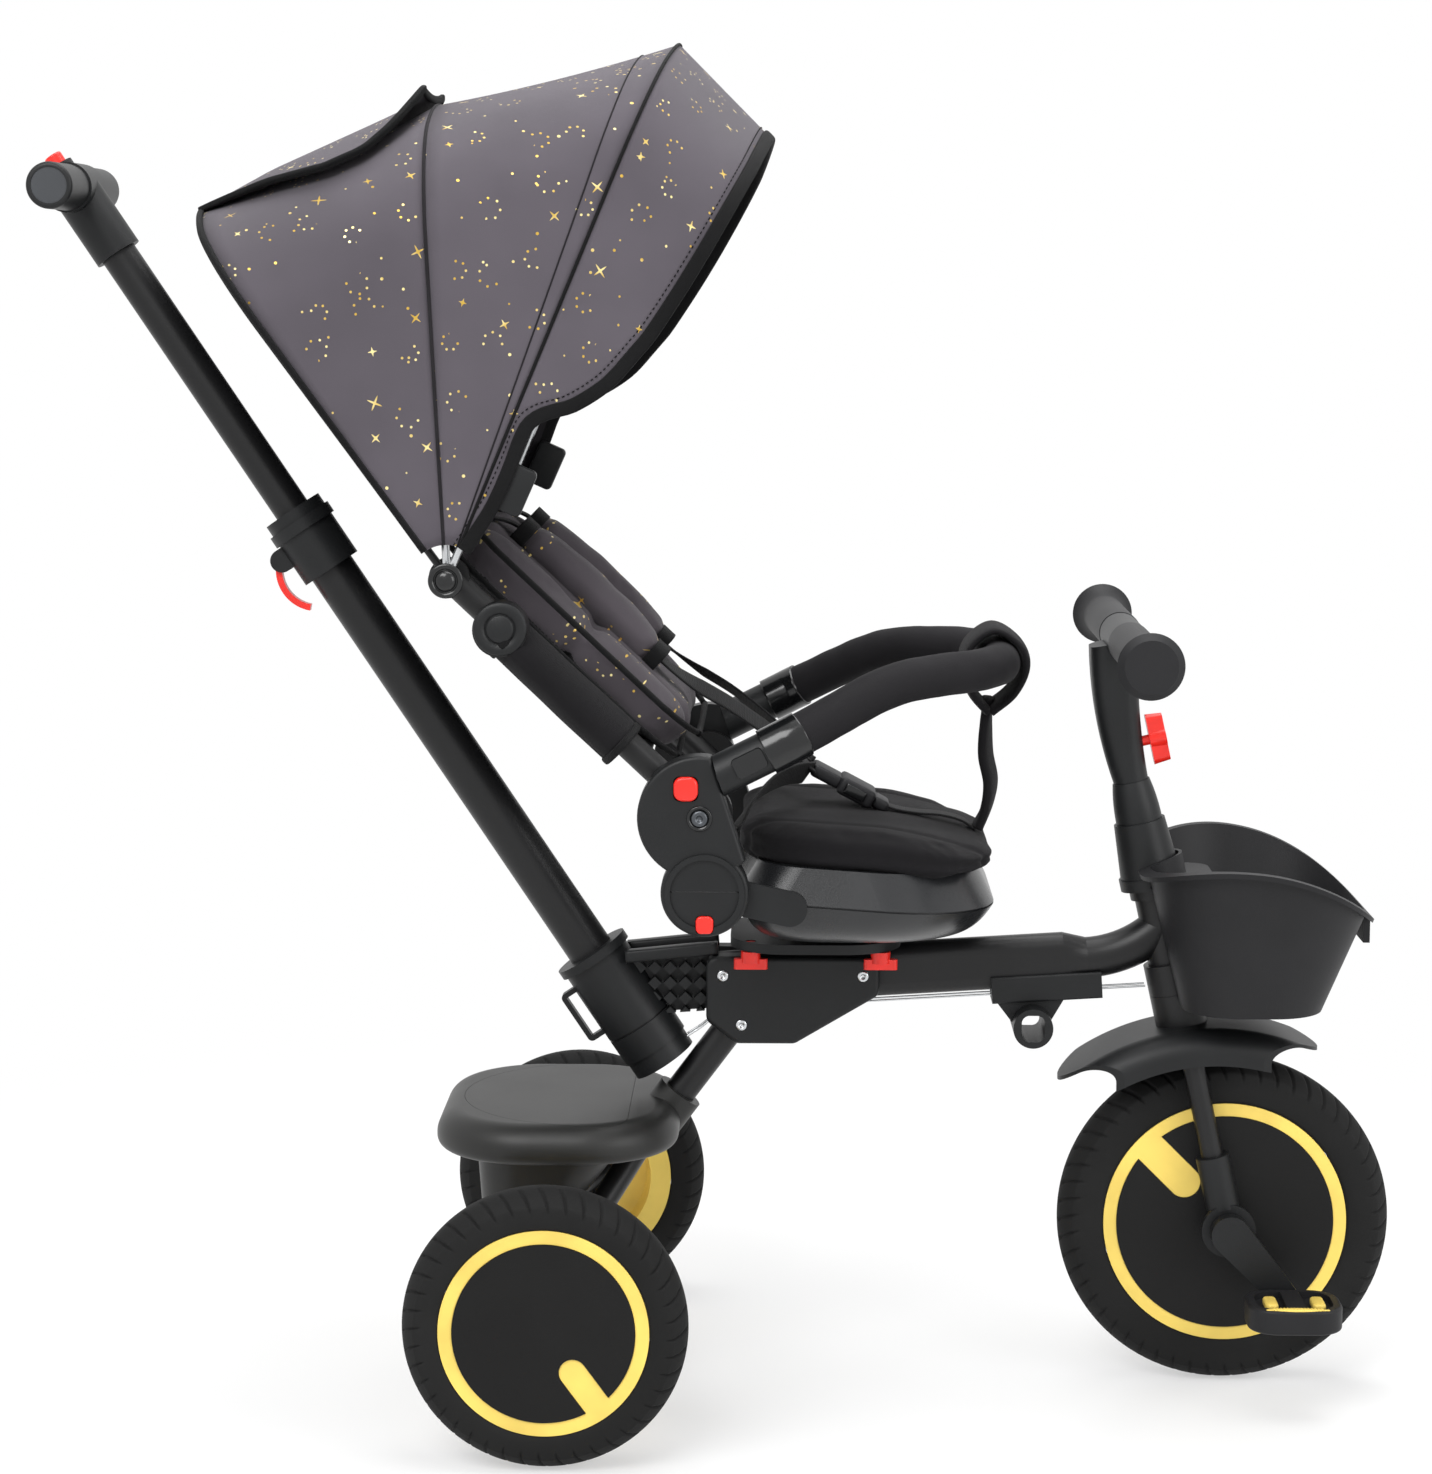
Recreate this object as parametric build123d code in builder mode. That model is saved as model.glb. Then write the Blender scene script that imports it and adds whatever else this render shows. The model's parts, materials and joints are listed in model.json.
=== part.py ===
from build123d import *
import os
from math import atan2, cos, degrees, radians, sin

os.makedirs("parts", exist_ok=True)

# A push tricycle with a turning seat, in millimetres.
# +X is forward, +Y is the rider's left, +Z is up from the ground.

# Clearances
fit = 0.06
gap = 0.3
seam = 0.1

# Wheels
wheelbase = 520.0
track = 445.0
front_tyre_r = 130.0
rear_tyre_r = 105.0
tyre_w = 45.0
tread_drop = 11.0
tread_edge_r = 5.0
front_rim_r = 95.0
rear_rim_r = 77.0
rim_w = 41.0
ring_w = 10.0
disc_t = 3.0
disc_proud = 1.0
disc_edge_r = 1.0
band_w = 17.0
dish_depth = 22.0
dish_draft = 4.0
hub_boss_r = 20.0
hub_boss_out = 3.0
tick_w_rear = 20.0
tick_w_front = 25.0
tick_start_rear = 26.0
tick_start_front = 33.0
tick_angle_rear = -54.0
tick_angle_front = 135.0
axle_r = 6.0

# Steering head, all measured along the steering axis up from the front hub
head_tilt = 12.5
head_low = 185.5
head_len = 85.5
head_r = 16.0
steerer_r = 13.0
steerer_top = 340.0
top_cup_r = 19.0
top_cup_h = 8.0
low_cup_r = 20.0
low_cup_h = 24.0

# Main beam
beam_w = 25.0
beam_h = 42.0
beam_corner_r = 11.5
beam_rise = 3.5
beam_rear = 118.0
beam_rear_z = 319.0
beam_short = 245.0
swage_len = 18.0
neck_r = 16.0
neck_join = 238.0

# Push bar, measured along its own axis up from the lower end of its socket
push_angle = 56.4
push_foot_x = 72.0
push_foot_z = 265.0
socket_r = 27.5
socket_len = 84.0
socket_flange_r = 30.5
socket_flange_t = 7.0
socket_cap_r = 26.0
socket_cap_len = 14.0
socket_seam = 22.0
socket_seam_w = 1.5
low_tube_r = 18.0
low_tube_bore_r = 16.0
low_tube_len = 482.0
up_tube_r = 14.0
up_tube_bore_r = 12.0
up_tube_start = 230.0
collar_overlap = 30.0
collar_len = 54.0
collar_r = 24.0
collar_rim_r = 26.5
collar_rim_t = 9.0
collar_lug_reach = 37.0
collar_lug_w = 16.0
collar_lug_h = 18.0
collar_lug_from = 17.0
lever_slot_w = 9.0
lever_pin_r = 2.5
lever_len = 42.0
lever_w = 8.0
lever_root_r = 6.5
lever_bow = 9.0
lever_t = 5.0
grip_along = 802.0
grip_r = 17.5
grip_half = 92.0
sleeve_r = 18.5
sleeve_len = 60.0
grip_edge_r = 3.0
saddle_half = 27.0
saddle_proud = 1.6
button_r = 7.0
button_proud = 9.0
button_press = 4.0
button_depth = 10.0
button_edge_r = 1.5
grip_cap_r = 13.5
grip_cap_t = 4.0
grip_cap_sunk = 0.5
button_hub_r = 11.0
button_hub_proud = 3.0

# Bracket from the socket to the beam, with its lattice of ribs
bracket_top_along = 84.0
bracket_low_along = 32.0
bracket_below = 23.0
rib_cell = 9.5
rib_pitch = 12.0
rib_rows = 5
rib_turn = 45.0
rib_depth = 9.0
loop_along = 52.0
loop_len = 44.0
loop_reach = 13.0
loop_bar = 4.0
loop_w = 9.0

# Side covers
cover_t = 19.0
cover_front = 248.0
cover_top_z = 342.0
cover_front_low_z = 312.0
cover_foot_front = 182.0
cover_foot_rear = 136.0
cover_foot_z = 273.0
cover_rear_low_z = 291.0
cover_rear = 113.0
cover_corner_r = 9.0
cover_edge_r = 4.0
screw_pit_r = 4.5
screw_pit_depth = 2.0
screw_inset_x = 13.0
screw_inset_z = 15.0

# Rear fork
strut_angle = 53.2
strut_r = 12.4
strut_under_beam = 6.0
split_along = 101.0
leg_r = 10.0
leg_spread = 92.0
axle_tube_r = 13.0

# Storage box
tray_mid = -2.0
tray_len = 188.0
tray_w = 236.0
tray_corner_r = 76.0
tray_foot_z = 196.0
tray_top_z = 226.0
tray_top_r = 19.0
tray_foot_r = 9.0
box_wall = 2.5
bin_front = 48.0
bin_rear = -64.0
bin_w = 172.0
bin_corner_r = 34.0
bin_foot_z = 128.0
bin_foot_front = -4.0
bin_foot_rear = -60.0
bin_foot_w = 132.0
bin_foot_corner_r = 22.0
lid_front = 54.0
lid_len = 132.0
lid_half_w = 104.0
lid_square = 34.0
lid_corner_r = 22.0
lid_t = 5.0
lid_wall = 3.5
lid_ledge = 7.0
strut_collar_r = 18.5
strut_collar_len = 30.0
strut_collar_along = 139.0

# Cable guide with the footrest socket, and the steering wires
guide_from = 217.0
guide_len = 86.0
guide_side = 4.0
guide_up = 12.0
guide_floor = 3.0
guide_channel_h = 6.0
guide_channel_w = 17.0
footrest_along = 30.0
footrest_r = 15.5
footrest_drop = 27.0
footrest_half = 32.0
footrest_hole_w = 18.0
footrest_hole_h = 21.0
footrest_hole_r = 6.0
footrest_web_half = 27.0
footrest_web_grip = 0.9
wire_r = 0.8
wire_y = 5.0
wire_under_beam = 3.2
wire_bend_r = 22.0

# Swivel under the seat
swivel_mid = 198.0
turn_mid = 226.0
swivel_plate_z = 351.0
swivel_plate_t = 7.5
swivel_plate_len = 132.0
swivel_plate_w = 134.0
swivel_plate_r = 44.0
swivel_saddle_w = 5.0
swivel_saddle_grip = 12.0
swivel_saddle_len = 100.0
spigot_r = 20.0
spigot_len = 6.5
turn_plate_r = 47.0
turn_plate_t = 8.0
knob_x = 50.0
knob_y = 50.0
knob_shaft_r = 4.0
knob_hub_r = 7.5
knob_hub_h = 9.0
knob_wing_half = 13.0
knob_wing_t = 7.0
knob_wing_h = 11.0
knob_corner_r = 3.0

# Fork, mudguard and stem
leg_y = 36.0
fork_leg_r = 8.5
crown_at = 141.0
crown_h = 8.0
crown_w = 26.0
eye_r = 14.0
eye_in = 28.5
eye_out = 43.0
leg_cover_r = 13.0
leg_cover_from = 17.0
leg_cover_len = 42.0
hub_disc_r = 21.0
hub_disc_t = 5.0
guard_rear_behind = 131.0
guard_rear_z = 243.0
guard_front_past = 72.0
guard_front_z = 268.0
guard_top_along = 160.0
guard_half_w = 51.0
guard_droop = 26.0
guard_t = 2.5
guard_shoulder_r = 20.0
guard_plan_half_w = 60.0
stem_len = 84.0
stem_low_r = 23.5
stem_ring_h = 9.0
stem_ring_r = 25.0
stem_mid_r = 20.0
stem_ball_r = 18.0
stem_neck_r = 14.5
stem_step = 52.0

# Handlebar
bar_along = 465.5
bar_ahead = 18.0
bar_r = 16.0
bar_hub_half = 40.0
bar_half = 204.0
bar_core_r = 11.0
grip_bar_r = 16.5
grip_flare_r = 24.5
grip_flare_len = 26.0
grip_end_t = 5.0
riser_low_r = 13.5
riser_mid_along = 400.0
riser_mid_w = 30.0
riser_mid_d = 33.0
riser_top_w = 40.0
riser_top_d = 38.0
riser_corner_r = 12.0
bar_knob_along = 384.0
bar_knob_ahead = 29.0
bar_knob_t = 13.0
bar_knob_half = 20.0
bar_knob_w = 11.0
bar_knob_shaft_r = 4.0
bar_knob_depth = 10.0
bar_knob_gap = 4.0
bar_knob_taper = 6.0

# Basket
basket_rear_behind = 70.0
basket_front_past = 120.0
basket_half_w = 122.0
basket_corner_r = 86.0
basket_floor_z = 306.0
basket_floor_rear_behind = 39.0
basket_floor_front_past = 68.0
basket_floor_half_w = 84.0
basket_floor_corner_r = 42.0
basket_mouth_z = 428.0
basket_wall = 2.5
basket_lip = 7.0
basket_lip_t = 4.0
basket_rim_rear_z = 404.0
basket_rim_peak_past = 25.0
basket_rim_peak_z = 422.0
basket_rim_front_z = 378.0
basket_spout_h = 22.0
basket_spout_half = 34.0
basket_clip_h = 10.0
basket_clip_w = 78.0
basket_clip_z = 396.0
basket_clip_len = 50.0
basket_clip_r = 16.0
basket_clip_back = 38.0

# Cranks and pedals
crank_in = 51.0
crank_t = 11.0
crank_hub_r = 15.0
crank_end_r = 10.0
crank_ahead = 44.0
crank_below = 50.0
spindle_r = 5.0
spindle_len = 62.0
pedal_gap = 4.0
pedal_len = 72.0
pedal_w = 60.0
pedal_h = 19.0
pedal_corner_r = 22.0
pedal_rim = 7.0
pedal_pit = 5.0
pedal_edge_r = 2.5
pedal_rib_w = 9.0

# Seat
seat_tilt = 4.0
seat_mid = 236.0
seat_len = 196.0
seat_w = 290.0
seat_front_r = 88.0
seat_rear_r = 34.0
seat_seam_z = 399.0
seat_foot_len = 128.0
seat_foot_w = 170.0
seat_foot_r = 50.0
seat_mid_len = 176.0
seat_mid_w = 258.0
seat_mid_z = 379.0
seat_rise = 27.0
seat_top_len = 168.0
seat_top_w = 262.0
seat_seam_gap = 1.5
seat_seam_inset = 2.0
cushion_len = 188.0
cushion_w = 272.0
cushion_t = 25.0
cushion_r = 66.0
cushion_foot_inset = 12.0
cushion_top_inset = 26.0
cushion_mid_h = 9.0
cushion_shift = 4.0

# Ears and the recline pivot
ear_in = 147.0
ear_t = 20.0
recline_x = 111.6
recline_z = 472.0
ear_r = 46.0
ear_cut = 22.0
ear_cut_angle = 18.0
ear_disc_x = 115.3
ear_disc_z = 416.0
ear_disc_r = 32.5
ear_disc_proud = 2.5
ear_disc_rim = 4.0
ear_foot_x = 178.0
ear_foot_z = 402.0
ear_foot_r = 13.0
ear_foot_t = 6.0
ear_edge_r = 3.0
recline_pin_r = 6.0
recline_button_up = 22.0
recline_button_back = 10.0
recline_button_w = 18.0
recline_button_r = 5.0
disc_button_w = 13.0
disc_button_h = 13.0
disc_button_r = 4.0
disc_button_drop = 23.0
side_button_proud = 3.0
side_button_depth = 9.0
side_button_press = 2.5

# Backrest, measured along the line from the recline pivot up the back
back_angle = 43.4
back_lug_r = 24.0
back_lug_t = 11.0
back_lug_in = 135.0
back_tube_r = 10.5
back_tube_y = 135.0
back_joint_along = 201.0
back_joint_r = 20.0
back_joint_in = 135.0
back_joint_out = 163.0
pivot_along = 254.0
pivot_boss_r = 15.0
pivot_boss_out = 142.0
pivot_pin_r = 4.5
pivot_cap_r = 10.0
pivot_cap_t = 4.0
back_rail_low = 62.0
back_rail_r = 8.0
pad_from = 40.0
pad_len = 236.0
pad_w = 244.0
pad_t = 32.0
pad_r = 46.0
pad_inset = 16.0
pad_foot_inset = 9.0
pad_mid_h = 13.0
shoulder_y = 52.0
shoulder_from = 98.0
shoulder_inset = 7.0
shoulder_r = 18.0
shoulder_len = 142.0
shoulder_w = 42.0
shoulder_t = 24.0

# Canopy: bows fan out from the pivot at the top of the back
bow_r = 3.0
bow_corner_r = 85.0
bow_crown_r = 300.0
bow_layer = 7.0
bow_eye_r = 9.0
bow_eye_t = 5.6
rear_bow_y = 146.0
rear_bow_angle = 126.0
rear_bow_reach = 326.0
mid_bow_angle = 92.8
mid_bow_reach = 342.0
front_bow_angle = 67.1
front_bow_reach = 420.0
visor_angle = 46.0
visor_reach = 388.0
visor_tip_reach = 404.0
fabric_t = 2.4
fabric_off = 1.4
fabric_root = 26.0
flank_reach = 61.0
flank_angle = 57.2
notch_reach = 124.0
notch_angle = 62.4
turn_reach = 158.0
turn_angle = 53.4
corner_reach = 200.0
corner_angle = 49.8
tip_angle = 54.5

# Bumper bar
bumper_y = 157.0
bumper_root_x = 121.5
bumper_root_z = 500.5
bumper_angle = 26.5
bumper_root_back = 2.0
bumper_end_r = 15.5
bumper_end_len = 52.0
bumper_spigot_r = 9.0
bumper_spigot_len = 34.0
bumper_foam_r = 16.0
bumper_straight = 64.0
bumper_bend_x = 252.0
bumper_bend_z = 570.0
bumper_bend_y = 130.0
bumper_front_x = 338.0
bumper_front_z = 573.0
bumper_front_y = 72.0
bumper_bend_r = 56.0
pad_button_at = 30.0
pad_button_len = 24.0
pad_button_w = 15.0
pad_button_corner_r = 3.0
pad_button_proud = 1.0
pad_button_depth = 4.5
pad_button_press = 1.5

# The rear axle stands so that the whole length is centred on the origin.
front_reach = wheelbase + front_tyre_r
back_reach = grip_along * cos(radians(push_angle)) + grip_r - push_foot_x
rear_x = (back_reach - front_reach) / 2
front_x = rear_x + wheelbase

# Lengths along the frame that follow the wheelbase or the lower push tube
beam_len = wheelbase - beam_short
guard_rear = wheelbase - guard_rear_behind
guard_front = wheelbase + guard_front_past
basket_rear = wheelbase - basket_rear_behind
basket_front = wheelbase + basket_front_past
basket_floor_rear = wheelbase - basket_floor_rear_behind
basket_floor_front = wheelbase + basket_floor_front_past
basket_rim_peak = wheelbase + basket_rim_peak_past
collar_from = low_tube_len - collar_overlap

# The back pad lies on the rails of the backrest
pad_rest = back_rail_r + gap


def keep(piece, name):
    """Label a finished piece and write it to its own file."""
    piece.part.label = name
    export_step(piece.part, f"parts/{name}.step")


def lean(angle):
    """Direction in the side view, from forward towards up."""
    return Vector(cos(radians(angle)), 0, sin(radians(angle)))


def ahead(x, z, y=0.0):
    """Point at x forward of the rear axle."""
    return Vector(rear_x + x, y, z)


def side_plane(origin, outward=-1):
    """Upright plane that faces the rider's right (-1) or left (+1)."""
    return Plane(origin=origin, x_dir=(-outward, 0, 0), z_dir=(0, outward, 0))


def square_to(origin, direction):
    """Plane across a direction of the side view, with its x axis to the rider's left."""
    return Plane(origin=origin, x_dir=(0, 1, 0), z_dir=direction)


# Frames of reference
front_hub = Vector(front_x, 0, front_tyre_r)
rear_hub = Vector(rear_x, 0, rear_tyre_r)
steer_up = lean(90 + head_tilt)
steer_ahead = lean(head_tilt)
steer_plane = Plane(origin=front_hub, x_dir=steer_ahead, z_dir=steer_up)
steer_section = Plane(origin=front_hub, x_dir=steer_ahead, z_dir=(0, -1, 0))
steer_axis = Axis(front_hub, steer_up)
push_foot = ahead(push_foot_x, push_foot_z)
push_up = lean(180 - push_angle)
push_ahead = lean(90 - push_angle)
push_plane = Plane(origin=push_foot, x_dir=push_ahead, z_dir=push_up)
push_section = Plane(origin=push_foot, x_dir=push_ahead, z_dir=(0, -1, 0))
push_axis = Axis(push_foot, push_up)
beam_dir = lean(beam_rise)
beam_up = lean(90 + beam_rise)
beam_start = ahead(beam_rear, beam_rear_z)
strut_dir = lean(strut_angle)
recline = ahead(recline_x, recline_z)
back_up = lean(180 - back_angle)
back_front = lean(90 - back_angle)
back_plane = Plane(origin=recline, x_dir=(0, 1, 0), z_dir=back_front)
canopy_pivot = recline + back_up * pivot_along
seat_seam_plane = Plane(
    origin=ahead(seat_mid, seat_seam_z),
    x_dir=lean(-seat_tilt),
    z_dir=lean(90 - seat_tilt),
)
seat_mid_plane = Plane(
    origin=ahead(seat_mid, seat_mid_z),
    x_dir=lean(-seat_tilt / 2),
    z_dir=lean(90 - seat_tilt / 2),
)


def beam_at(along, up=0.0):
    """Point on the beam's middle line, raised square to it."""
    return beam_start + beam_dir * along + beam_up * up


# Main frame: oval beam, swaged round neck and steering head
with BuildPart() as main_frame:
    with BuildSketch(square_to(beam_start, beam_dir)):
        RectangleRounded(beam_w, beam_h, beam_corner_r)
    extrude(amount=beam_len)
    neck_start = beam_at(beam_len + swage_len)
    with BuildSketch(square_to(beam_at(beam_len), beam_dir)):
        RectangleRounded(beam_w, beam_h, beam_corner_r)
    with BuildSketch(square_to(neck_start, beam_dir)):
        Circle(neck_r)
    loft()
    with BuildLine() as neck_line:
        TangentArc(neck_start, front_hub + steer_up * neck_join, tangent=beam_dir)
    with BuildSketch(square_to(neck_start, beam_dir)):
        Circle(neck_r)
    sweep(path=neck_line.wires()[0])
    with BuildSketch(steer_plane.offset(head_low)):
        Circle(head_r)
    extrude(amount=head_len)
    with BuildSketch(steer_plane.offset(head_low)):
        Circle(low_cup_r)
    extrude(amount=low_cup_h)
    with BuildSketch(steer_plane.offset(head_low + head_len - top_cup_h)):
        Circle(top_cup_r)
    extrude(amount=top_cup_h)
    with BuildSketch(steer_plane.offset(head_low)):
        Circle(steerer_r + fit)
    extrude(amount=head_len, mode=Mode.SUBTRACT)
keep(main_frame, "main_frame")

# Push socket with the lattice bracket that joins it to the beam
bracket_corners = [
    push_foot + push_up * bracket_top_along,
    beam_at(0, beam_h / 2),
    beam_at(0, -bracket_below),
    push_foot + push_up * bracket_low_along,
]
with BuildPart() as push_socket:
    with BuildSketch(Plane.XZ):
        with BuildLine():
            Polyline(*[(p.X, p.Z) for p in bracket_corners], close=True)
        make_face()
    extrude(amount=beam_w / 2, both=True)
    bracket_mid = sum(bracket_corners, Vector()) / len(bracket_corners) + push_ahead * (socket_r / 2)
    for outward in (-1, 1):
        with BuildSketch(side_plane(bracket_mid + Vector(0, outward * beam_w / 2, 0), outward)):
            with GridLocations(rib_pitch, rib_pitch, rib_rows, rib_rows):
                Rectangle(rib_cell, rib_cell, rotation=rib_turn)
        extrude(amount=-rib_depth, mode=Mode.SUBTRACT)
    with BuildSketch(push_plane):
        Circle(socket_r)
    extrude(amount=socket_len)
    with BuildSketch(push_plane.offset(socket_len)):
        Circle(socket_flange_r)
    extrude(amount=socket_flange_t)
    with BuildSketch(push_plane.offset(-socket_cap_len)):
        Circle(socket_cap_r)
    extrude(amount=socket_cap_len)
    with BuildSketch(push_plane.offset(socket_seam)):
        Circle(socket_r)
        Circle(socket_r - socket_seam_w, mode=Mode.SUBTRACT)
    extrude(amount=socket_seam_w, mode=Mode.SUBTRACT)
    loop_plane = Plane(
        origin=push_foot + push_up * loop_along - push_ahead * (socket_r - loop_bar),
        x_dir=-push_ahead,
        z_dir=(0, -1, 0),
    )
    with BuildSketch(loop_plane.offset(-loop_w / 2)):
        with Locations(((loop_reach + loop_bar) / 2, 0)):
            RectangleRounded(loop_reach + loop_bar, loop_len, loop_bar)
        with Locations((loop_reach / 2 + loop_bar / 2, 0)):
            Rectangle(loop_reach - loop_bar, loop_len - 2 * loop_bar, mode=Mode.SUBTRACT)
    extrude(amount=loop_w)
    with BuildSketch(push_plane):
        Circle(low_tube_r + fit)
    extrude(amount=socket_len + socket_flange_t, mode=Mode.SUBTRACT)
keep(push_socket, "push_socket")

# Side covers on both sides of the beam's rear end
cover_outline = [
    (cover_rear, cover_top_z),
    (cover_front, cover_top_z),
    (cover_front, cover_front_low_z),
    (cover_foot_front, cover_foot_z),
    (cover_foot_rear, cover_foot_z),
    (cover_rear, cover_rear_low_z),
]
cover_screws = [
    (cover_rear + screw_inset_x, cover_top_z - screw_inset_z),
    (cover_front - screw_inset_x, cover_top_z - screw_inset_z),
    (cover_foot_rear + screw_pit_r, cover_foot_z + screw_inset_z),
]
swivel_foot = beam_at(swivel_mid - beam_rear - swivel_saddle_len / 2)
with BuildPart() as side_covers:
    cover_plane = side_plane(ahead(0, 0, -beam_w / 2))
    with BuildSketch(cover_plane):
        with BuildLine():
            Polyline(*cover_outline, close=True)
        make_face()
        fillet(vertices(), cover_corner_r)
    extrude(amount=cover_t)
    fillet(faces().sort_by(Axis.Y)[0].edges(), cover_edge_r)
    with BuildSketch(cover_plane.offset(cover_t)):
        with Locations(*cover_screws):
            Circle(screw_pit_r)
    extrude(amount=-screw_pit_depth, mode=Mode.SUBTRACT)
    with BuildSketch(square_to(swivel_foot - beam_dir * gap, beam_dir)):
        with Locations((0, beam_h / 2)):
            Rectangle(beam_w + 2 * swivel_saddle_w + 2 * gap, 2 * swivel_saddle_grip + 2 * gap)
    extrude(amount=swivel_saddle_len + 2 * gap, mode=Mode.SUBTRACT)
    mirror(about=Plane.XZ)
keep(side_covers, "side_covers")

# Rear fork: a strut from under the beam that splits into two legs on the axle tube
strut_split = rear_hub + strut_dir * split_along
axle_tube_half = track / 2 - rim_w / 2 - hub_boss_out - gap
with BuildPart() as rear_fork:
    with BuildSketch(square_to(strut_split, strut_dir)):
        Circle(strut_r)
    extrude(amount=wheelbase / 2)
    cut_level = Plane(
        origin=beam_at(0, -beam_h / 2 - strut_under_beam), x_dir=(0, 1, 0), z_dir=beam_up
    )
    split(bisect_by=cut_level, keep=Keep.BOTTOM)
    with Locations(strut_split):
        Sphere(strut_r)
    for side in (-1, 1):
        leg_foot = rear_hub + Vector(0, side * leg_spread, 0)
        leg_line = leg_foot - strut_split
        with BuildSketch(Plane(origin=strut_split, z_dir=leg_line)):
            Circle(leg_r)
        extrude(amount=leg_line.length)
    with BuildSketch(side_plane(rear_hub)):
        Circle(axle_tube_r)
    extrude(amount=axle_tube_half, both=True)
    with BuildSketch(side_plane(rear_hub)):
        Circle(axle_r + fit)
    extrude(amount=axle_tube_half, both=True, mode=Mode.SUBTRACT)
keep(rear_fork, "rear_fork")

# Rear axle
with BuildPart() as rear_axle:
    with BuildSketch(side_plane(rear_hub)):
        Circle(axle_r)
    extrude(amount=track / 2 + rim_w / 2 - disc_t - seam, both=True)
keep(rear_axle, "rear_axle")

def tray_pillow():
    """Solid pillow shape of the storage tray."""
    with BuildPart() as pillow:
        with BuildSketch(Plane.XY.offset(tray_foot_z)):
            with Locations((tray_x, 0)):
                RectangleRounded(tray_len, tray_w, tray_corner_r)
        extrude(amount=tray_top_z - tray_foot_z)
        fillet(faces().sort_by(Axis.Z)[-1].edges(), tray_top_r)
        fillet(faces().sort_by(Axis.Z)[0].edges(), tray_foot_r)
    return pillow.part


def lid_shape(grow):
    """D-shaped outline of the box lid, grown outward."""
    with BuildSketch() as outline:
        with Locations((lid_back_x, 0)):
            Ellipse(lid_len - lid_square + grow, lid_half_w + grow)
            Rectangle(2 * lid_len, 3 * lid_half_w, align=(Align.MIN, Align.CENTER), mode=Mode.SUBTRACT)
        with Locations((lid_back_x - seam, 0)):
            Rectangle(
                lid_square + seam + grow,
                2 * (lid_half_w + grow),
                align=(Align.MIN, Align.CENTER),
            )
        fillet(vertices().group_by(Axis.X)[-1], lid_corner_r + grow)
    return outline.sketch


# Storage box: a tray with a rolled edge, a tapered bin and a collar on the strut
tray_x = rear_x + tray_mid
lid_back_x = rear_x + lid_front - lid_square
lid_seat_z = tray_top_z - lid_t
with BuildPart() as storage_box:
    add(tray_pillow())
    with BuildSketch(Plane.XY.offset(tray_foot_z)):
        with Locations((rear_x + (bin_front + bin_rear) / 2, 0)):
            RectangleRounded(bin_front - bin_rear, bin_w, bin_corner_r)
    with BuildSketch(Plane.XY.offset(bin_foot_z)):
        with Locations((rear_x + (bin_foot_front + bin_foot_rear) / 2, 0)):
            RectangleRounded(bin_foot_front - bin_foot_rear, bin_foot_w, bin_foot_corner_r)
    loft()
    with BuildSketch(square_to(rear_hub + strut_dir * strut_collar_along, strut_dir)):
        Circle(strut_collar_r)
    extrude(amount=strut_collar_len / 2, both=True)
    with BuildSketch(Plane.XY.offset(tray_foot_z)):
        with Locations((rear_x + (bin_front + bin_rear) / 2, 0)):
            RectangleRounded(
                bin_front - bin_rear - 2 * box_wall, bin_w - 2 * box_wall, bin_corner_r - box_wall
            )
    with BuildSketch(Plane.XY.offset(bin_foot_z + box_wall)):
        with Locations((rear_x + (bin_foot_front + bin_foot_rear) / 2, 0)):
            RectangleRounded(
                bin_foot_front - bin_foot_rear - 2 * box_wall,
                bin_foot_w - 2 * box_wall,
                bin_foot_corner_r - box_wall,
            )
    loft(mode=Mode.SUBTRACT)
    with BuildSketch(Plane.XY.offset(tray_foot_z)):
        with Locations((rear_x + (bin_front + bin_rear) / 2, 0)):
            RectangleRounded(
                bin_front - bin_rear - 2 * box_wall, bin_w - 2 * box_wall, bin_corner_r - box_wall
            )
    extrude(amount=lid_seat_z - tray_foot_z + seam, mode=Mode.SUBTRACT)
    with BuildSketch(Plane.XY.offset(lid_seat_z)):
        add(lid_shape(gap))
    extrude(amount=2 * lid_t, mode=Mode.SUBTRACT)
    with BuildSketch(square_to(rear_hub, strut_dir)):
        Circle(strut_r + seam)
    extrude(amount=wheelbase, mode=Mode.SUBTRACT)
keep(storage_box, "storage_box")

# Box lid: a hollow cap flush with the pillow, hinged along its straight front edge
with BuildPart() as box_lid:
    add(tray_pillow())
    with BuildSketch(Plane.XY.offset(lid_seat_z + gap)):
        add(lid_shape(0))
    extrude(amount=2 * lid_t, mode=Mode.INTERSECT)
    with BuildSketch(Plane.XY.offset(lid_seat_z)):
        add(lid_shape(-lid_ledge - tray_top_r / 2))
    extrude(amount=lid_t - lid_wall, mode=Mode.SUBTRACT)
keep(box_lid, "box_lid")

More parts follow.
